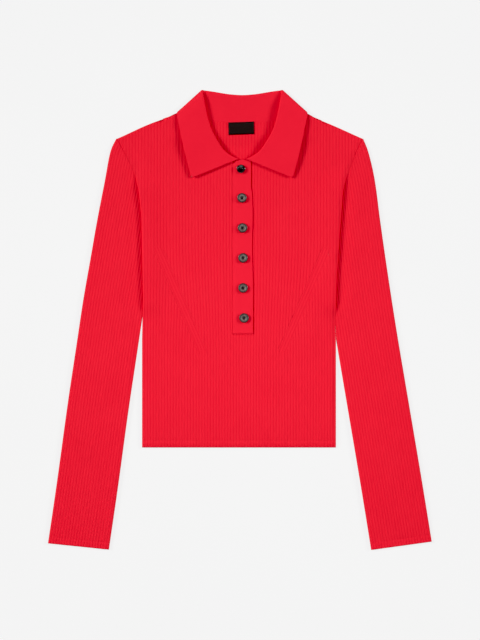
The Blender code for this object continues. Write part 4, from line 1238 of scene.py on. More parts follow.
class BackPanel:
    """The back: flat where it rests, ribbed inside where the neck opening shows it."""

    hem_rows = (0.0, 0.3, 0.9, 2.0, 5.0)
    low_zone, high_zone = RowZone(HEM_Y + 14.0, 244.0, 9.0), RowZone(246.0, 312.0, 2.6)
    neck_zone = RowZone(313.0, 318.5, 0.35)
    top_start, top_spacing = 319.0, 1.1
    window, window_foot, window_fade = 60.0, 250.0, 5.0
    columns_per_rib, plain_columns = 6.0, 44
    plain_start, plain_end = 61.5, 203.0
    rib_rise = 0.22
    rim_drop, rim_radius = 0.1, 1.5

    def __init__(self, plan: BodyPlan) -> None:
        """Keep the body's outline at hand."""
        self.plan = plan

    def rows(self) -> np.ndarray:
        """Find the heights of the grid's rows, closest where the neck curve is flat.

        Returns:
            The rising heights.
        """
        top = RowZone(self.top_start, self.plan.neck_y, self.top_spacing)
        rows = zone_rows(self.hem_rows, self.low_zone, self.high_zone, self.neck_zone, top)
        return np.unique(np.append(rows, [self.plan.tip_y, self.plan.neck_y]))

    def build(self, finishes: Finishes) -> bpy.types.Object:
        """Make the back.

        Args:
            finishes: The sweater's materials.

        Returns:
            The piece.
        """
        plan, y = self.plan, self.rows()
        points, knit = {}, {}
        for side in Side:
            pitch = float(plan.pitch(side, self.window_foot))
            near = np.arange(0.0, self.window, pitch / self.columns_per_rib)
            far = np.linspace(self.plain_start, self.plain_end, self.plain_columns)
            outer = plan.outer(side, y)[:, None]
            distance = np.concatenate((near, far))[None, :]
            distance = np.clip(distance, plan.back_inner(y)[:, None], outer)
            rows = np.broadcast_to(y[:, None], distance.shape)
            x = CENTRE_X + side.value * distance
            shown = smooth((self.window - distance) / self.window_fade)
            shown = shown * smooth((rows - self.window_foot) / self.window_fade)
            rim = np.minimum(outer - distance, rows - HEM_Y)
            rib = self.rib_rise * shown * rib_section(distance / pitch)
            z = plan.lift(x, rows) + WALL + rib - edge_drop(self.rim_drop, rim, self.rim_radius)
            points[side] = np.stack((x, rows, z), axis=-1)
            knit[side] = np.stack((distance / pitch, rows), axis=-1)
        piece = cut_panel("back_knit", join_halves(points), join_halves(knit))
        thicken(piece, WALL - self.rim_drop, -1.0)
        dress(piece, finishes.rib, "rib_knit", "back")
        return piece


# Sleeves
class Sleeve:
    """A sleeve: a flattened rib knit tube whose columns run down it from the armhole."""

    floor_offsets = (0.45, 0.9, 2.0, 4.0)
    groove_offsets = (0.3, 0.9, 1.7, 2.6, 3.6, 5.0, 7.0, 10.0, 14.0)
    cuff_rows = (12.0, 11.0, 10.0, 8.0, 5.0, 2.5, 1.4, 0.7, 0.25, 0.0)
    long_rows, first_long_row, cuff_clear = 92, 0.012, 2.0
    start_gap, floor_gap, groove_gap = 0.2, 0.2, 0.35
    slope_reach = 20.0
    search_low, search_high, halvings = -5.0, 420.0, 34
    fold_radius, under_radius, fold_gap = 4.0, 2.2, 0.12
    fold_columns = (0.0, 0.35, 1.0, 2.2)
    cuff_loft, cuff_reach = 0.4, 50.0
    crease_side, crease_seam = 14.0, 16.0
    end_fall, end_radius, seam_clear = 0.45, 1.4, 0.4
    welt_flatness = 0.5
    middle = WALL + 0.5 * SEAM_GAP
    upper_level = 2.4

    def __init__(self, plan: BodyPlan, side: Side) -> None:
        """Read the sleeve's outer edge from the table.

        Args:
            plan: The body that it is sewn to.
            side: Its side.
        """
        self.plan = plan
        self.side = side
        self.cut = SIDE_CUTS[side]
        corners = np.column_stack((column(EDGE_ROWS, f"{side.word}_x"), column(EDGE_ROWS, "y")))
        runs = run_lengths(corners)
        self._x = Profile(runs, corners[:, 0])
        self._y = Profile(runs, corners[:, 1])
        dense = np.linspace(0.0, runs[-1], plan.samples)
        self.length = float(np.interp(-self.cut.cuff_y, -self._y(dense), dense))
        self.pitch = SLEEVE_WIDTH / SLEEVE_RIBS

    def place(self, run: np.ndarray, across: np.ndarray) -> tuple[np.ndarray, np.ndarray]:
        """Find points in plan.

        Args:
            run: How far down the sleeve each point is.
            across: How far in from its outer edge.

        Returns:
            Each point's x and y.
        """
        run = np.clip(run, 0.0, None)
        ahead_x = self._x(run + self.slope_reach) - self._x(run - self.slope_reach)
        ahead_y = self._y(run + self.slope_reach) - self._y(run - self.slope_reach)
        length = np.hypot(ahead_x, ahead_y)
        inward_x, inward_y = ahead_y / length * self.side.value, -ahead_x / length * self.side.value
        return self._x(run) + inward_x * across, self._y(run) + inward_y * across

    def away(self, x: np.ndarray, y: np.ndarray) -> np.ndarray:
        """Return how far outside the body's side edge points lie."""
        return self.side.value * (x - self.plan.side_edge(self.side, y))

    def crossing(self, across: np.ndarray, extra: float, with_groove: bool) -> np.ndarray:
        """Find where each column leaves the armhole, by halving.

        Args:
            across: How far in from the outer edge each column is.
            extra: How far outside the armhole the crossing is wanted.
            with_groove: Whether that is counted from the groove's outer edge.

        Returns:
            The run of each column's crossing.
        """
        low = np.full_like(across, self.search_low)
        high = np.full_like(across, self.search_high)
        for _ in range(self.halvings):
            middle = 0.5 * (low + high)
            x, y = self.place(middle, across)
            away = self.away(x, y) - extra
            if with_groove:
                away = away - self.plan.groove(self.side, y)
            low = np.where(away < 0.0, middle, low)
            high = np.where(away < 0.0, high, middle)
        return np.maximum(high, 0.0)

    def runs(self, across: np.ndarray) -> np.ndarray:
        """Find the runs of every row: the groove's, the long rows and the cuff's.

        Args:
            across: How far in from the outer edge each column is.

        Returns:
            Rows by columns, from the armhole to the cuff.
        """
        rows = [self.crossing(across, self.start_gap, False)]
        for extra in self.floor_offsets:
            rows.append(np.maximum(rows[-1] + self.floor_gap, self.crossing(across, extra, False)))
        for extra in self.groove_offsets:
            rows.append(np.maximum(rows[-1] + self.groove_gap, self.crossing(across, extra, True)))
        start = rows[-1]
        end = self.length - self.cut.cuff_slant * across
        span = end - WELT - self.cuff_clear - start
        shares = np.linspace(self.first_long_row, 1.0, self.long_rows)
        rows += [start + span * share for share in shares]
        rows += [end - back for back in self.cuff_rows]
        return np.array(rows)

    def area(self) -> float:
        """Measure the tube's flat area.

        Returns:
            The area all round, in square metres.
        """
        across = np.linspace(0.0, SLEEVE_WIDTH, 60)
        end = self.length - self.cut.cuff_slant * across
        lengths = end - self.crossing(across, self.start_gap, False)
        return 2.0 * SLEEVE_WIDTH * float(lengths.mean()) * MM * MM

    def fold(self, across: np.ndarray) -> np.ndarray:
        """Return 0 on the tube's two folded edges and 1 between them."""
        inner = rounded((SLEEVE_WIDTH - across) / self.fold_radius)
        return rounded(across / self.fold_radius) * inner

    def top(self, across: np.ndarray, run: np.ndarray) -> np.ndarray:
        """Find the height of the upper wall's outside.

        Args:
            across: How far in from the outer edge each point is.
            run: How far down the sleeve it is.

        Returns:
            The height above the floor at each point.
        """
        x, y = self.place(run, across)
        away = np.maximum(0.0, self.away(x, y))
        share, cap = groove_share(y), cap_height(y)
        plain = cap + (SLEEVE_LOFT - cap) * smooth(away / SLEEVE_REACH)
        past = away - self.plan.groove(self.side, y)
        swell = SLEEVE_LOFT + ROLL_LOFT * np.exp(-np.maximum(0.0, past) / ROLL_FADE)
        loft = plain * (1.0 - share) + smooth(past / ROLL_REACH) * swell * share
        left = self.length - self.cut.cuff_slant * across - run
        loft = loft * grow(self.cuff_loft, left / self.cuff_reach)
        fold = self.fold(across)
        sides = smooth(across / self.crease_side)
        sides = sides * smooth((SLEEVE_WIDTH - across) / self.crease_side)
        near = sides * smooth(away / self.crease_seam)
        crease = crease_height(SLEEVE_CREASES, across, run) * near
        welt = welt_dip(left)
        drop = edge_drop(self.end_fall, np.minimum(left, away + self.seam_clear), self.end_radius)
        base = self.middle + (2.0 * WALL + SEAM_GAP + loft + crease - self.middle) * fold
        rib = rib_section(across / self.pitch) * fold * (1.0 - self.welt_flatness * welt)
        return base + RIB_RISE * rib - (welt + drop) * fold

    def build(self, finishes: Finishes) -> bpy.types.Object:
        """Make the sleeve.

        Args:
            finishes: The sweater's materials.

        Returns:
            The piece.
        """
        upper = rib_places(0, SLEEVE_RIBS) * self.pitch
        upper = np.append(upper[1:], SLEEVE_WIDTH - self.fold_gap)
        upper[0] = self.fold_gap
        fold_in = np.array(self.fold_columns)
        lower = np.arange(1, SLEEVE_RIBS) * self.pitch
        lower = np.concatenate((fold_in, lower, SLEEVE_WIDTH - fold_in[::-1]))[::-1]
        across = np.concatenate((upper, lower))
        run = self.runs(across)
        wide = np.broadcast_to(across, run.shape)
        x, y = self.place(run, wide)
        under = edge_drop(self.middle, np.minimum(wide, SLEEVE_WIDTH - wide), self.under_radius)
        below = np.arange(len(across)) >= len(upper)
        z = np.where(below[None, :], under, self.top(wide, run))
        u = np.append(across / self.pitch, across[0] / self.pitch)
        v = np.concatenate((run, run[:, :1]), axis=1)
        uv = np.stack((np.broadcast_to(u, v.shape), v), axis=-1)
        node = f"sleeve_{self.side.word}"
        piece = grid_object(f"{node}_knit", np.stack((x, y, z), axis=-1), uv, closed=True)
        face_up(piece, self.upper_level)
        thicken(piece, WALL - 0.2, -1.0)
        dress(piece, finishes.rib, "rib_knit", node)
        return piece


# Collar
class Collar:
    """The collar: one plain knit strip that stands from the neck seam and folds over."""

    sections = 240
    end_rows, first_section = (0.0, 0.35, 0.9, 1.8), 3.0
    edge_taper, edge_start, rim_share = 1.3, 0.05, 0.3
    tip_radius = 4.5
    right_lift = 1.4
    lift_start_y, lift_start_fade, lift_end_y, lift_end_fade = 262.0, 25.0, 366.0, 22.0
    level_turn, flat_turn = 12.0, 168.0
    stand_shares = (1.0, *np.linspace(0.985, 0.06, 9))
    roll_degrees = np.linspace(-80.0, 80.0, 9)
    fall_shares = (*np.linspace(0.03, 0.95, 20), 0.975, 0.99, 1.0)
    middle_column = 29
    wave_height, wave_start, wave_reach, wave_front = 0.22, 0.45, 0.4, 0.36

    def __init__(self, plan: BodyPlan) -> None:
        """Read the sections' curves from the table, and mirror them.

        Args:
            plan: The body that it is sewn to.
        """
        self.plan = plan
        self.mean_width = 0.0
        self.stops = run_lengths(np.array([self._place(row) for row in COLLAR_ROWS]))
        mirror = 2.0 * self.stops[-1] - self.stops[-2::-1]
        self.all_stops = np.concatenate((self.stops, mirror))
        self.curves = {}
        for field in CollarRow._fields:
            values = np.array(column(COLLAR_ROWS, field))
            mirrored = (-1.0 if field.endswith("_x") else 1.0) * values[-2::-1]
            self.curves[field] = Profile(self.all_stops, np.concatenate((values, mirrored)))

    @staticmethod
    def _place(row: CollarRow) -> tuple[float, float, float]:
        """Return a row's place for spacing the sections, half way down the fall."""
        middle_x, middle_y = 0.5 * (row.roll_x + row.edge_x), 0.5 * (row.roll_y + row.edge_y)
        return middle_x, middle_y, 0.2 * row.turn

    def _read(self, stop: float) -> dict[str, float]:
        """Read the curves at one place.

        Args:
            stop: How far along the strip, from its left tip.

        Returns:
            The table's fields there, with the right half's roll raised.
        """
        read = {field: float(curve(stop)) for field, curve in self.curves.items()}
        if stop > self.stops[-1]:
            window = smooth((read["roll_y"] - self.lift_start_y) / self.lift_start_fade)
            window = window * smooth((self.lift_end_y - read["roll_y"]) / self.lift_end_fade)
            read["roll_z"] += self.right_lift * float(window)
        return read

    def section(self, stop: float) -> np.ndarray:
        """Draw one section's middle line, from the neck seam over the roll to the free edge.

        Args:
            stop: How far along the strip, from its left tip.

        Returns:
            The line's points, as distances from the centre line, heights in plan and levels.
        """
        read = self._read(stop)
        roll = np.array([read["roll_x"], read["roll_y"]])
        fall = np.array([read["edge_x"], read["edge_y"]]) - roll
        stand = np.array([read["neck_x"], read["neck_y"]]) - roll
        fall_length, stand_length = np.hypot(*fall), np.hypot(*stand)
        fall, stand = fall / fall_length, stand / stand_length
        from_end = min(stop, self.all_stops[-1] - stop, self.tip_radius) / self.tip_radius
        fall_end = fall_length - self.tip_radius * (1.0 - float(rounded(from_end)))
        turn = math.radians(read["turn"])
        side = 1.0 if stop <= self.stops[-1] else -1.0
        across = side * np.array([-fall[1], fall[0]]) * math.sin(turn)
        rise = np.append(across, math.cos(turn))
        radius, roll_z = read["radius"], read["roll_z"]
        roll_run = radius + 0.5 * WALL
        neck_z = self._neck_z(read)
        points = []
        for share in self.stand_shares:
            flat = roll + stand * (roll_run + (stand_length - roll_run) * share)
            points.append(np.append(flat, roll_z + (neck_z - roll_z) * share))
        for degrees in self.roll_degrees:
            angle = math.radians(degrees)
            flat = roll + (stand if degrees < 0.0 else fall) * (roll_run - radius * math.cos(angle))
            points.append(np.append(flat, roll_z) + rise * (radius + radius * math.sin(angle)))
        foot = roll_z + 2.0 * radius * math.cos(turn)
        for share in self.fall_shares:
            flat = roll + fall * (roll_run + (fall_end - roll_run) * share)
            level = roll_z + (read["edge_z"] - foot) * float(smooth(share))
            points.append(np.append(flat, level) + rise * 2.0 * radius)
        return np.array(points)

    def _neck_z(self, read: dict[str, float]) -> float:
        """Find the level of the neck seam.

        Args:
            read: The table's fields at the section.

        Returns:
            The middle height of the panel edge that it is sewn to, front or back.
        """
        x, y = CENTRE_X - read["neck_x"], read["neck_y"]
        front = float(self.plan.inside(x, y)) + 0.5 * WALL
        back = float(self.plan.lift(x, y)) + 0.5 * WALL
        share = (read["turn"] - self.level_turn) / (self.flat_turn - self.level_turn)
        return front + (back - front) * float(smooth(share))

    def build(self, finishes: Finishes) -> bpy.types.Object:
        """Make the collar.

        Args:
            finishes: The sweater's materials.

        Returns:
            The piece.
        """
        end, ends = self.all_stops[-1], np.array(self.end_rows)
        long = np.linspace(self.first_section, end - self.first_section, self.sections)
        stops = np.concatenate((ends, long, end - ends[::-1]))
        grid = np.array([self.section(stop) for stop in stops])
        grid[..., 0] = CENTRE_X - grid[..., 0]
        self._soften(grid, stops / end)
        v = np.array([run_lengths(line) for line in grid])
        self.mean_width = float(v[:, -1].mean()) * MM
        u = run_lengths(grid[:, self.middle_column])[:, None] / PLAIN_WALE
        uv = np.stack((np.broadcast_to(u, v.shape), v), axis=-1)
        piece = grid_object("collar_knit", grid, uv)
        self._taper(piece, grid)
        thicken(piece, WALL, 0.0)
        wall = piece.modifiers["wall"]
        wall.vertex_group = "wall"
        wall.thickness_vertex_group = self.rim_share
        dress(piece, finishes.plain, "plain_knit", "collar")
        return piece

    def _soften(self, grid: np.ndarray, share: np.ndarray) -> None:
        """Add the slow waves that a pressed knit collar keeps.

        Args:
            grid: The strip's points, which are moved.
            share: How far along the strip each section is, from 0 to 1.
        """
        across = np.linspace(0.0, 1.0, grid.shape[1])[None, :]
        front = 1.0 - smooth((0.5 - np.abs(share - 0.5)) / self.wave_front)[:, None]
        wave = np.sin(share[:, None] * 31.0 + across * 5.0)
        wave = wave + 0.6 * np.sin(share[:, None] * 53.0 + 1.7)
        shown = smooth((across - self.wave_start) / self.wave_reach) * front
        grid[..., 2] += self.wave_height * wave * shown

    def _taper(self, piece: bpy.types.Object, grid: np.ndarray) -> None:
        """Weight the wall so that it thins to a soft edge along the strip's rim.

        Args:
            piece: The strip.
            grid: The points that it was made from.
        """
        group = piece.vertex_groups.new(name="wall")
        rim = np.concatenate((grid[:, -1], grid[0], grid[-1])) * MM
        for vertex in piece.data.vertices:
            gap = np.sqrt(((rim - np.array(vertex.co)) ** 2).sum(axis=1).min()) / MM
            weight = float(rounded((gap + self.edge_start) / self.edge_taper))
            group.add([vertex.index], weight, "REPLACE")


# Placket
class Placket:
    """The two placket bands, the over one lapping the under one and carrying the buttons."""

    edge_steps = (0.0, 0.2, 0.6, 1.3, 2.2)
    first_column, columns = 3.0, 22
    length, first_row, last_row, rows = 277.0, 4.0, 272.0, 90
    lap_clear = 0.4
    peak, peak_half, peak_rise = 1.6, 7.0, 3.5
    stray_reach = 12.0
    edge_fall, edge_radius, wall_spare = 0.45, 1.3, 0.15
    pucker, pucker_rim, pucker_run, pucker_sway, sway_run = 0.10, 5.0, 7.6, 0.6, 23.0
    stitch_levels = (PLACKET_FOOT + 2.0, PLACKET_FOOT - 2.2)
    stitch_spacing, stitch_length, stitch_radius = 2.1, 1.5, 0.28
    stitch_start, stitch_end, stitch_lift, stitch_rest = 1.2, 1.4, 0.05, 0.35

    def __init__(self, plan: BodyPlan) -> None:
        """Keep the body's outline at hand."""
        self.plan = plan

    def over_low(self, x: np.ndarray, y: np.ndarray) -> np.ndarray:
        """Find the over band's underside, which climbs onto the under band.

        Args:
            x: Each point's place across the body.
            y: Each point's height in plan.

        Returns:
            The height above the floor at each point.
        """
        start, end = PLACKET_LEFT + SEAM_GAP, UNDER_BAND_LEFT - self.lap_clear
        lap = smooth((x - start) / (end - start))
        return self.plan.inside(x, y) + (BAND_WALL + SEAM_GAP) * lap

    def top_edge(self, x: np.ndarray) -> np.ndarray:
        """Return the bands' upper edge, with a small peak at the centre."""
        share = (self.peak_half - np.abs(x - CENTRE_X)) / self.peak_rise
        return PLACKET_TOP + self.peak * smooth(share)

    def band(
        self, name: str, left: float, right: float, wall: float, low: Surface
    ) -> bpy.types.Object:
        """Make one band.

        Args:
            name: The piece's name.
            left: Its left edge.
            right: Its right edge, before that strays.
            wall: Its thickness.
            low: Gives its underside's height at points in plan.

        Returns:
            The piece.
        """
        edge = np.array(self.edge_steps)
        between = np.linspace(left + self.first_column, right - self.first_column, self.columns)
        x = np.concatenate((left + edge, between, right - edge[::-1]))
        rows = np.linspace(self.first_row, self.last_row, self.rows)
        share = np.concatenate((edge, rows, self.length - edge[::-1])) / self.length
        foot, top = PLACKET_FOOT + SEAM_GAP, self.top_edge(x)
        y = foot + share[:, None] * (top - foot)[None, :]
        straight = np.broadcast_to(x, y.shape)
        near = smooth((straight - right + self.stray_reach) / self.stray_reach)
        wide = straight + self.plan.stray(y) * near
        rim = np.minimum(np.minimum(right - straight, y - foot), top[None, :] - y)
        wave = np.sin(y / self.pucker_run + self.pucker_sway * np.sin(y / self.sway_run))
        pucker = self.pucker * wave * smooth(rim / self.pucker_rim)
        z = low(wide, y) + wall - edge_drop(self.edge_fall, rim, self.edge_radius) + pucker
        uv = np.stack((wide / PLAIN_WALE, y), axis=-1)
        piece = grid_object(name, np.stack((wide, y, z), axis=-1), uv)
        face_up(piece)
        thicken(piece, wall - self.wall_spare, -1.0)
        return piece

    def build(self, finishes: Finishes) -> tuple[bpy.types.Object, bpy.types.Object]:
        """Make both bands and the stitches that hold their foot.

        Args:
            finishes: The sweater's materials.

        Returns:
            The over band and the under band.
        """
        left, right = PLACKET_LEFT + SEAM_GAP, PLACKET_RIGHT - SEAM_GAP
        over = self.band("placket_over_knit", left, OVER_BAND_RIGHT, WALL, self.over_low)
        under = self.band("placket_under_knit", UNDER_BAND_LEFT, right, BAND_WALL, self.plan.inside)
        dress(over, finishes.plain, "plain_knit", "placket_over")
        dress(under, finishes.plain, "plain_knit", "placket_under")
        self.foot_stitches(finishes)
        return over, under

    def foot_stitches(self, finishes: Finishes) -> None:
        """Make the two rows of bar stitches across the placket's foot.

        Args:
            finishes: The sweater's materials.
        """
        work = bmesh.new()
        starts = np.arange(
            PLACKET_LEFT + self.stitch_start, PLACKET_RIGHT - self.stitch_end, self.stitch_spacing
        )
        for level in self.stitch_levels:
            for x in starts:
                if level > PLACKET_FOOT:
                    base = self.over_low(x, level)
                else:
                    base = self.plan.inside(x, level) + self.stitch_rest
                height = float(base) + WALL + self.stitch_lift
                centre = (x + 0.5 * self.stitch_length, level, height)
                add_stitch(work, centre, self.stitch_length, self.stitch_radius)
        dress(link("foot_stitches", work), finishes.thread, "plain_knit")


def add_stitch(
    work: bmesh.types.BMesh, centre: Sequence[float], length: float, radius: float
) -> None:
    """Add one stitch that lies along X: a small rounded grain of thread.

    Args:
        work: The mesh it is added to.
        centre: Its middle, in millimetres.
        length: Its length.
        radius: Half its width; it is a little flatter than wide.
    """
    made = bmesh.ops.create_uvsphere(work, u_segments=8, v_segments=6, radius=1.0)
    size = Vector((0.5 * length, radius, radius * 0.8)) * MM
    bmesh.ops.scale(work, verts=made["verts"], vec=size)
    bmesh.ops.translate(work, verts=made["verts"], vec=Vector(centre) * MM)


# Buttons
class Button:
    """A turned button: raised rim, dished middle, four holes and the thread through them."""

    face_profile = (
        ((0.0, 0.40), (0.22, 0.40), (0.29, 0.43), (0.33, 0.56), (0.37, 0.63))
        + ((0.46, 0.65), (0.58, 0.74), (0.68, 0.86), (0.74, 0.93))
    )
    rim_profile = (
        ((0.80, 0.99), (0.88, 1.0), (0.95, 0.93), (0.99, 0.78), (1.0, 0.55))
        + ((0.99, 0.34), (0.93, 0.12), (0.84, 0.0), (0.0, 0.0))
    )
    thickness, segments = 2.6, 48
    # Shares of the radius: inside well the faces get the dark horn as painted shade, beyond rim as
    # a darker rim
    well, rim = 0.36, 0.74
    hole_reach, hole_radius, hole_level, hole_depth, hole_segments = 0.19, 0.085, 1.0, 8.0, 20
    sharp_angle = 40.0
    thread_radius, thread_rise, thread_flat, thread_fall, thread_step = 0.42, 1.49, 0.36, 8.16, 0.25
    thread_overrun, thread_points = 0.1, 15

    def __init__(self, number: int, row: ButtonRow, finishes: Finishes) -> None:
        """Read the button's place and size from its solid.

        Args:
            number: Its number, from the neck down.
            row: Its row of the table.
            finishes: The sweater's materials.
        """
        self.row = row
        self.node = f"button_{number}"
        low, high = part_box(self.node)
        self.radius = 0.5 * (high.x - low.x) / MM
        self.centre = Vector((0.5 * (low.x + high.x), 0.5 * (low.y + high.y), low.z)) / MM
        self.finishes = finishes
        # outside is the dark horn, laid on the rim and, as painted shade, in the well
        self.slot, self.middle, self.outside = "horn", finishes.horn, finishes.horn_rim
        if number == 1:
            self.slot, self.middle, self.outside = "black_gloss", finishes.black, finishes.black

    def turned(self, name: str, profile: Sequence[tuple[float, float]]) -> bpy.types.Object:
        """Turn a profile into a round piece.

        Args:
            name: The piece's name.
            profile: Shares of the radius and of the thickness, from the middle outwards.

        Returns:
            The piece, about the origin.
        """
        work = bmesh.new()
        corners = []
        for reach, level in profile:
            spot = Vector((reach * self.radius, 0.0, level * self.thickness)) * MM
            corners.append(work.verts.new(spot))
        edges = [work.edges.new(pair) for pair in zip(corners, corners[1:])]
        bmesh.ops.spin(
            work,
            geom=corners + edges,
            axis=(0.0, 0.0, 1.0),
            angle=math.tau,
            steps=self.segments,
            use_merge=True,
        )
        bmesh.ops.remove_doubles(work, verts=work.verts[:], dist=MERGE)
        bmesh.ops.recalc_face_normals(work, faces=work.faces[:])
        return link(name, work)

    def build(self) -> None:
        """Make the button and its thread in place, with a darker rim and painted shade in its well.
        """
        body = self.turned(f"{self.node}_turned", self.face_profile + self.rim_profile)
        self._drill(body)
        body.data.transform(Matrix.Translation(self.centre * MM))
        dress(body, self.middle, self.slot, self.node)
        # The second material is the dark horn: a darker rim, and painted shade in the well
        body.data.materials.append(self.outside)
        for polygon in body.data.polygons:
            away = polygon.center / MM - self.centre
            reach = away.xy.length / self.radius
            polygon.material_index = int(reach < self.well or reach > self.rim)
        self._thread()

    def _drill(self, body: bpy.types.Object) -> None:
        """Cut the four holes with a Boolean and keep only its result.

        Args:
            body: The turned button.
        """
        work = bmesh.new()
        size = self.hole_radius * self.radius * MM
        for spot in self._holes():
            made = bmesh.ops.create_cone(
                work,
                cap_ends=True,
                segments=self.hole_segments,
                radius1=1.0,
                radius2=1.0,
                depth=self.hole_depth * MM,
            )
            bmesh.ops.scale(work, verts=made["verts"], vec=(size, size, 1.0))
            bmesh.ops.translate(work, verts=made["verts"], vec=spot * MM)
        drill = link(f"{self.node}_drill", work)
        cut = body.modifiers.new("holes", "BOOLEAN")
        cut.operation = "DIFFERENCE"
        cut.object = drill
        graph = bpy.context.evaluated_depsgraph_get()
        drilled = bpy.data.meshes.new_from_object(body.evaluated_get(graph))
        body.modifiers.clear()
        body.data = drilled
        drilled.shade_smooth()
        drilled.set_sharp_from_angle(angle=math.radians(self.sharp_angle))
        bpy.data.objects.remove(drill, do_unlink=True)

    def _holes(self) -> list[Vector]:
        """Place the four holes.

        Returns:
            Their centres about the button's own, in millimetres.
        """
        turn = math.radians(self.row.turn)
        angles = [turn + math.radians(45.0 + 90.0 * quarter) for quarter in range(4)]
        reach = self.hole_reach * self.radius
        spots = [(math.cos(angle) * reach, math.sin(angle) * reach) for angle in angles]
        return [Vector((x, y, self.hole_level)) for x, y in spots]

    def _thread(self) -> None:
        """Make two crossing bars of thread, which dip into the holes at both ends."""
        holes = self._holes()
        shares = np.linspace(-self.thread_overrun, 1.0 + self.thread_overrun, self.thread_points)
        past = np.clip(np.abs(shares - 0.5) - self.thread_flat, 0.0, None)
        for index, (start, end) in enumerate(((holes[0], holes[2]), (holes[1], holes[3]))):
            flat = np.array([start.lerp(end, float(share))[:2] for share in shares])
            rise = self.thread_rise - self.thread_fall * past + self.thread_step * index
            path = np.column_stack((flat, rise)) + np.array(self.centre)
            bar = tube_object(f"{self.node}_thread_{index + 1}", path, self.thread_radius, sides=8)
            dress(bar, self.finishes.dark_thread, "black_gloss")


# Label and seams
class Label:
    """The bare woven label over the back neck seam, its ends turned under; their stitches aren't
    drawn.
    """

    width, height, turn = 41.0, 20.0, math.radians(2.0)
    columns, rows = 42, 22
    level, tape, crown = 0.62, 0.5, 0.16
    fold, fold_width, fold_rise = 0.22, 3.0, 0.8
    edge_fall, edge_radius = 0.45, 0.7

    def __init__(self) -> None:
        """Read the label's place from its solid."""
        low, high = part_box("label")
        self.centre = (low + high) * 0.5 / MM
        self.low = low.z / MM

    def build(self, finishes: Finishes) -> bpy.types.Object:
        """Make the label as a soft tape that lies a little crowned.

        Args:
            finishes: The sweater's materials.

        Returns:
            The piece.
        """
        x = np.linspace(-0.5, 0.5, self.columns)[None, :] * self.width
        y = np.linspace(-0.5, 0.5, self.rows)[:, None] * self.height
        edge = np.minimum(0.5 * self.width - np.abs(x), 0.5 * self.height - np.abs(y))
        turned = (np.abs(x) - 0.5 * self.width + self.fold_width) / self.fold_rise
        crown = np.cos(x / self.width * math.pi) * np.cos(y / self.height * math.pi)
        z = self.low + self.level + self.crown * crown + self.fold * smooth(turned)
        z = z - edge_drop(self.edge_fall, edge, self.edge_radius)
        wide, tall = np.broadcast_to(x, z.shape), np.broadcast_to(y, z.shape)
        cosine, sine = math.cos(self.turn), math.sin(self.turn)
        place_x = self.centre.x + wide * cosine - tall * sine
        place_y = self.centre.y + wide * sine + tall * cosine
        uv = np.stack((wide, tall), axis=-1)
        piece = grid_object("label_tape", np.stack((place_x, place_y, z), axis=-1), uv)
        face_up(piece)
        thicken(piece, self.tape, -1.0)
        dress(piece, finishes.tape, "woven_label", "label")
        return piece


class Seams:
    """The linked seams: thin beads of knit that close the gaps between the panels."""

    armhole_radius, placket_radius, neck_radius = 0.5, 0.42, 0.6
    armhole_points, placket_points, neck_points = 220, 160, 181
    tip_clear, armhole_out, armhole_sink = 0.6, 0.1, 0.35
    tip_lift, tip_y, tip_fade = 0.3, 300.0, 60.0
    placket_in = 0.15
    placket_rise = {Side.LEFT: 1.2, Side.RIGHT: 0.6}
    neck_span, neck_up, neck_sink = 0.97, 0.15, 0.5

    def __init__(self, plan: BodyPlan) -> None:
        """Keep the body's outline at hand."""
        self.plan = plan

    def armhole(self, side: Side) -> np.ndarray:
        """Lay an armhole seam, from the shoulder tip to the underarm.

        Args:
            side: The armhole's side.

        Returns:
            The points of its path.
        """
        y = np.linspace(self.plan.tip_y - self.tip_clear, SEAM_FEET[side], self.armhole_points)
        x = self.plan.side_edge(side, y) + side.value * self.armhole_out
        lifted = cap_height(y) * grow(self.tip_lift, (self.tip_y - y) / self.tip_fade)
        z = WALL + SEAM_GAP + lifted + WALL - self.armhole_sink
        return np.column_stack((x, y, z))

    def placket(self, side: Side) -> np.ndarray:
        """Lay the seam beside the placket, which strays on the right as the band does.

        Args:
            side: The placket's side.

        Returns:
            The points of its path.
        """
        y = np.linspace(PLACKET_FOOT, PLACKET_TOP, self.placket_points)
        if side is Side.RIGHT:
            x = PLACKET_RIGHT - self.placket_in + self.plan.stray(y)
        else:
            x = PLACKET_LEFT + self.placket_in + 0.0 * y
        return np.column_stack((x, y, self.plan.inside(x, y) + self.placket_rise[side]))

    def back_neck(self) -> np.ndarray:
        """Lay the seam between the back and the collar, inside the neck.

        Returns:
            The points of its path.
        """
        share = np.linspace(-self.neck_span, self.neck_span, self.neck_points)
        distance = share * self.plan.neck_x
        y = self.plan.back_top(np.abs(distance), Side.RIGHT) + self.neck_up
        x = CENTRE_X + distance
        return np.column_stack((x, y, self.plan.lift(x, y) + WALL - self.neck_sink))

    def build(self, finishes: Finishes) -> None:
        """Make every seam.

        Args:
            finishes: The sweater's materials.
        """
        beads = []
        for side in Side:
            beads.append((f"armhole_seam_{side.word}", self.armhole(side), self.armhole_radius))
        for side in Side:
            beads.append((f"placket_seam_{side.word}", self.placket(side), self.placket_radius))
        beads.append(("neck_seam", self.back_neck(), self.neck_radius))
        for name, path, radius in beads:
            dress(tube_object(name, path, radius, sides=8), finishes.thread, "rib_knit")


# Studio
@dataclass(frozen=True)
class SoftLight:
    """A distant soft light: the way it lies from the sweater, how wide it looks, how strong."""

    name: str
    azimuth: float
    elevation: float
    spread: float
    strength: float


SOFT_LIGHTS = (
    SoftLight("light_left", 164.0, 28.0, 14.0, 3.3),
    SoftLight("light_right", 14.0, 25.0, 14.0, 2.6),
)


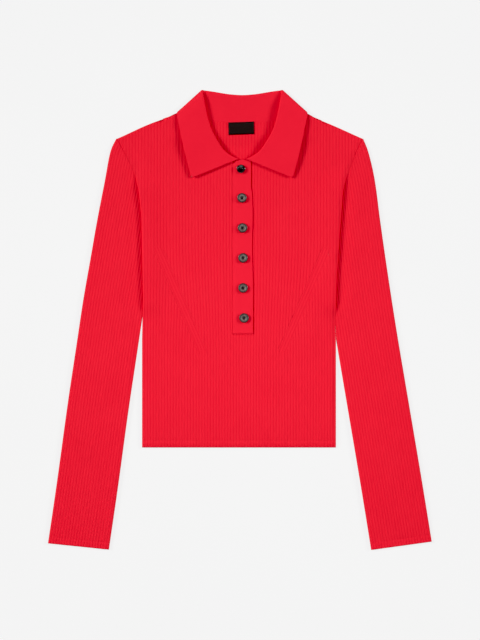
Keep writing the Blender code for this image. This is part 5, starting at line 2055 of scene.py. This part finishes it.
class Studio:
    """The pale floor, the soft lights, the fill and the camera that looks straight down."""

    photo_height_px, mm_per_px, centre_row_px = 640, 1.6, 320.4
    lens, sensor = 85.0, 36.0
    subject_z = 5.0
    light_distance = 3.0
    top_y, top_height, top_size, top_watts = -0.01, 0.45, 0.4, 0.43
    black_level = 0.02
    fill, glow, room_glow = 0.17, 0.82, 0.92
    floor_half, floor_squares, floor_gap = 3.2, 24, 0.2
    floor_dark, floor_pale = (0.078, 0.078, 0.078), (0.082, 0.082, 0.082)

    def build(self) -> None:
        """Make the studio."""
        self._floor()
        for soft in SOFT_LIGHTS:
            self._light(soft)
        self._top_light()
        self._fill()
        self._camera()
        self._develop()

    def _floor(self) -> None:
        """Make a plain pale floor just under the sweater."""
        work = bmesh.new()
        squares = self.floor_squares
        bmesh.ops.create_grid(work, x_segments=squares, y_segments=squares, size=self.floor_half)
        floor = link("floor", work)
        floor.location.z = -self.floor_gap * MM
        graph = Graph("pale_floor")
        share = graph.ramp(graph.noise(graph.object_place(), 3.0, 2.0), 0.3, 0.7, 0.0, 1.0)
        colour = graph.blend(share, opaque(self.floor_dark), opaque(self.floor_pale))
        seen = graph.add("ShaderNodeLightPath").outputs["Is Camera Ray"]
        graph.shade(Base_Color=colour, Roughness=0.9, Specular_IOR_Level=0.1)
        graph.shade(Emission_Color=opaque((1.0, 1.0, 1.0)))
        graph.shade(Emission_Strength=graph.times(seen, self.glow))
        floor.data.materials.append(graph.material)

    @staticmethod
    def _hang(data: bpy.types.Light | bpy.types.Camera, place: Sequence[float]) -> bpy.types.Object:
        """Hang a light or a camera, looking straight down.

        Args:
            data: The light's or the camera's settings.
            place: Where it hangs, in metres.

        Returns:
            The new object.
        """
        thing = bpy.data.objects.new(data.name, data)
        thing.location = place
        bpy.context.scene.collection.objects.link(thing)
        return thing

    def _light(self, soft: SoftLight) -> None:
        """Hang one soft light, turned to the sweater's middle.

        Args:
            soft: The light's place, width and strength.
        """
        data = bpy.data.lights.new(soft.name, "SUN")
        data.energy = soft.strength
        data.angle = math.radians(soft.spread)
        azimuth, elevation = math.radians(soft.azimuth), math.radians(soft.elevation)
        flat = math.cos(elevation)
        way = Vector((math.cos(azimuth) * flat, math.sin(azimuth) * flat, math.sin(elevation)))
        light = self._hang(data, way * self.light_distance)
        light.rotation_euler = (-way).to_track_quat("-Z", "Y").to_euler()

    def _top_light(self) -> None:
        """Hang a wide soft light over the middle, which fades a little towards the cuffs."""
        data = bpy.data.lights.new("light_top", "AREA")
        data.shape = "DISK"
        data.size = self.top_size
        data.energy = self.top_watts
        self._hang(data, (0.0, self.top_y, self.top_height)).visible_camera = False

    def _fill(self) -> None:
        """Fill the room with even white light, and let the camera see it as bright as the floor."""
        world = bpy.data.worlds.new("room")
        world.use_nodes = True
        nodes, links = world.node_tree.nodes, world.node_tree.links
        seen = nodes.new("ShaderNodeLightPath").outputs["Is Camera Ray"]
        strength = nodes.new("ShaderNodeMath")
        strength.operation = "MULTIPLY_ADD"
        strength.inputs[1].default_value = self.room_glow - self.fill
        strength.inputs[2].default_value = self.fill
        links.new(seen, strength.inputs[0])
        links.new(strength.outputs[0], nodes["Background"].inputs["Strength"])
        nodes["Background"].inputs["Color"].default_value = opaque((1.0, 1.0, 1.0))
        bpy.context.scene.world = world

    def _develop(self) -> None:
        """Develop the picture as the photograph was, with its blacks pressed down a little."""
        settings = bpy.context.scene.view_settings
        settings.view_transform = "Standard"
        settings.use_curve_mapping = True
        settings.curve_mapping.black_level = [self.black_level] * 3
        settings.curve_mapping.update()

    def _camera(self) -> None:
        """Hang the camera so that one pixel of the photograph is 1.6 mm on the cloth."""
        data = bpy.data.cameras.new("camera")
        data.lens = self.lens
        data.sensor_fit = "VERTICAL"
        data.sensor_height = self.sensor
        view_height = self.photo_height_px * self.mm_per_px
        distance = view_height * self.lens / self.sensor
        middle_y = (self.centre_row_px - 0.5 * self.photo_height_px) * self.mm_per_px
        place = Vector((0.0, middle_y, distance + self.subject_z)) * MM
        bpy.context.scene.camera = self._hang(data, place)


# Assembly
class Sweater:
    """The whole sweater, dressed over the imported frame, and the sizes its cloth was cut to."""

    body_cut = (0.396, 0.538)
    collar_cut = (COLLAR_LENGTH, 0.105)
    under_cut, over_cut = (0.0252, 0.279), (0.0322, 0.279)
    label_cut = (0.041, 0.020)

    def __init__(self) -> None:
        """Read the body's outline and make the materials."""
        self.plan = BodyPlan()
        self.finishes = Finishes()

    def build(self) -> None:
        plan, finishes = self.plan, self.finishes
        back = BackPanel(plan).build(finishes)
        front = FrontPanel(plan).build(finishes)
        area = plan.area(lambda side, y: plan.back_inner(y))
        area = plan.area(plan.front_inner)
        for side in Side:
            sleeve = Sleeve(plan, side)
            tube = sleeve.build(finishes)
            sleeve.area()
            LOG.info("%s: %.0f mm from shoulder to cuff", tube.name, sleeve.length)
        collar = Collar(plan)
        strip = collar.build(finishes)
        area = COLLAR_LENGTH * collar.mean_width
        over, under = Placket(plan).build(finishes)
        for number, row in enumerate(BUTTON_ROWS, start=1):
            Button(number, row, finishes).build()
        label = Label().build(finishes)
        Seams(plan).build(finishes)


def main() -> None:
    """Dress the frame and light it."""
    logging.basicConfig(level=logging.INFO, format="%(name)s: %(message)s")
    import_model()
    Sweater().build()
    Studio().build()
    bpy.context.view_layer.update()


if __name__ == "__main__":
    main()
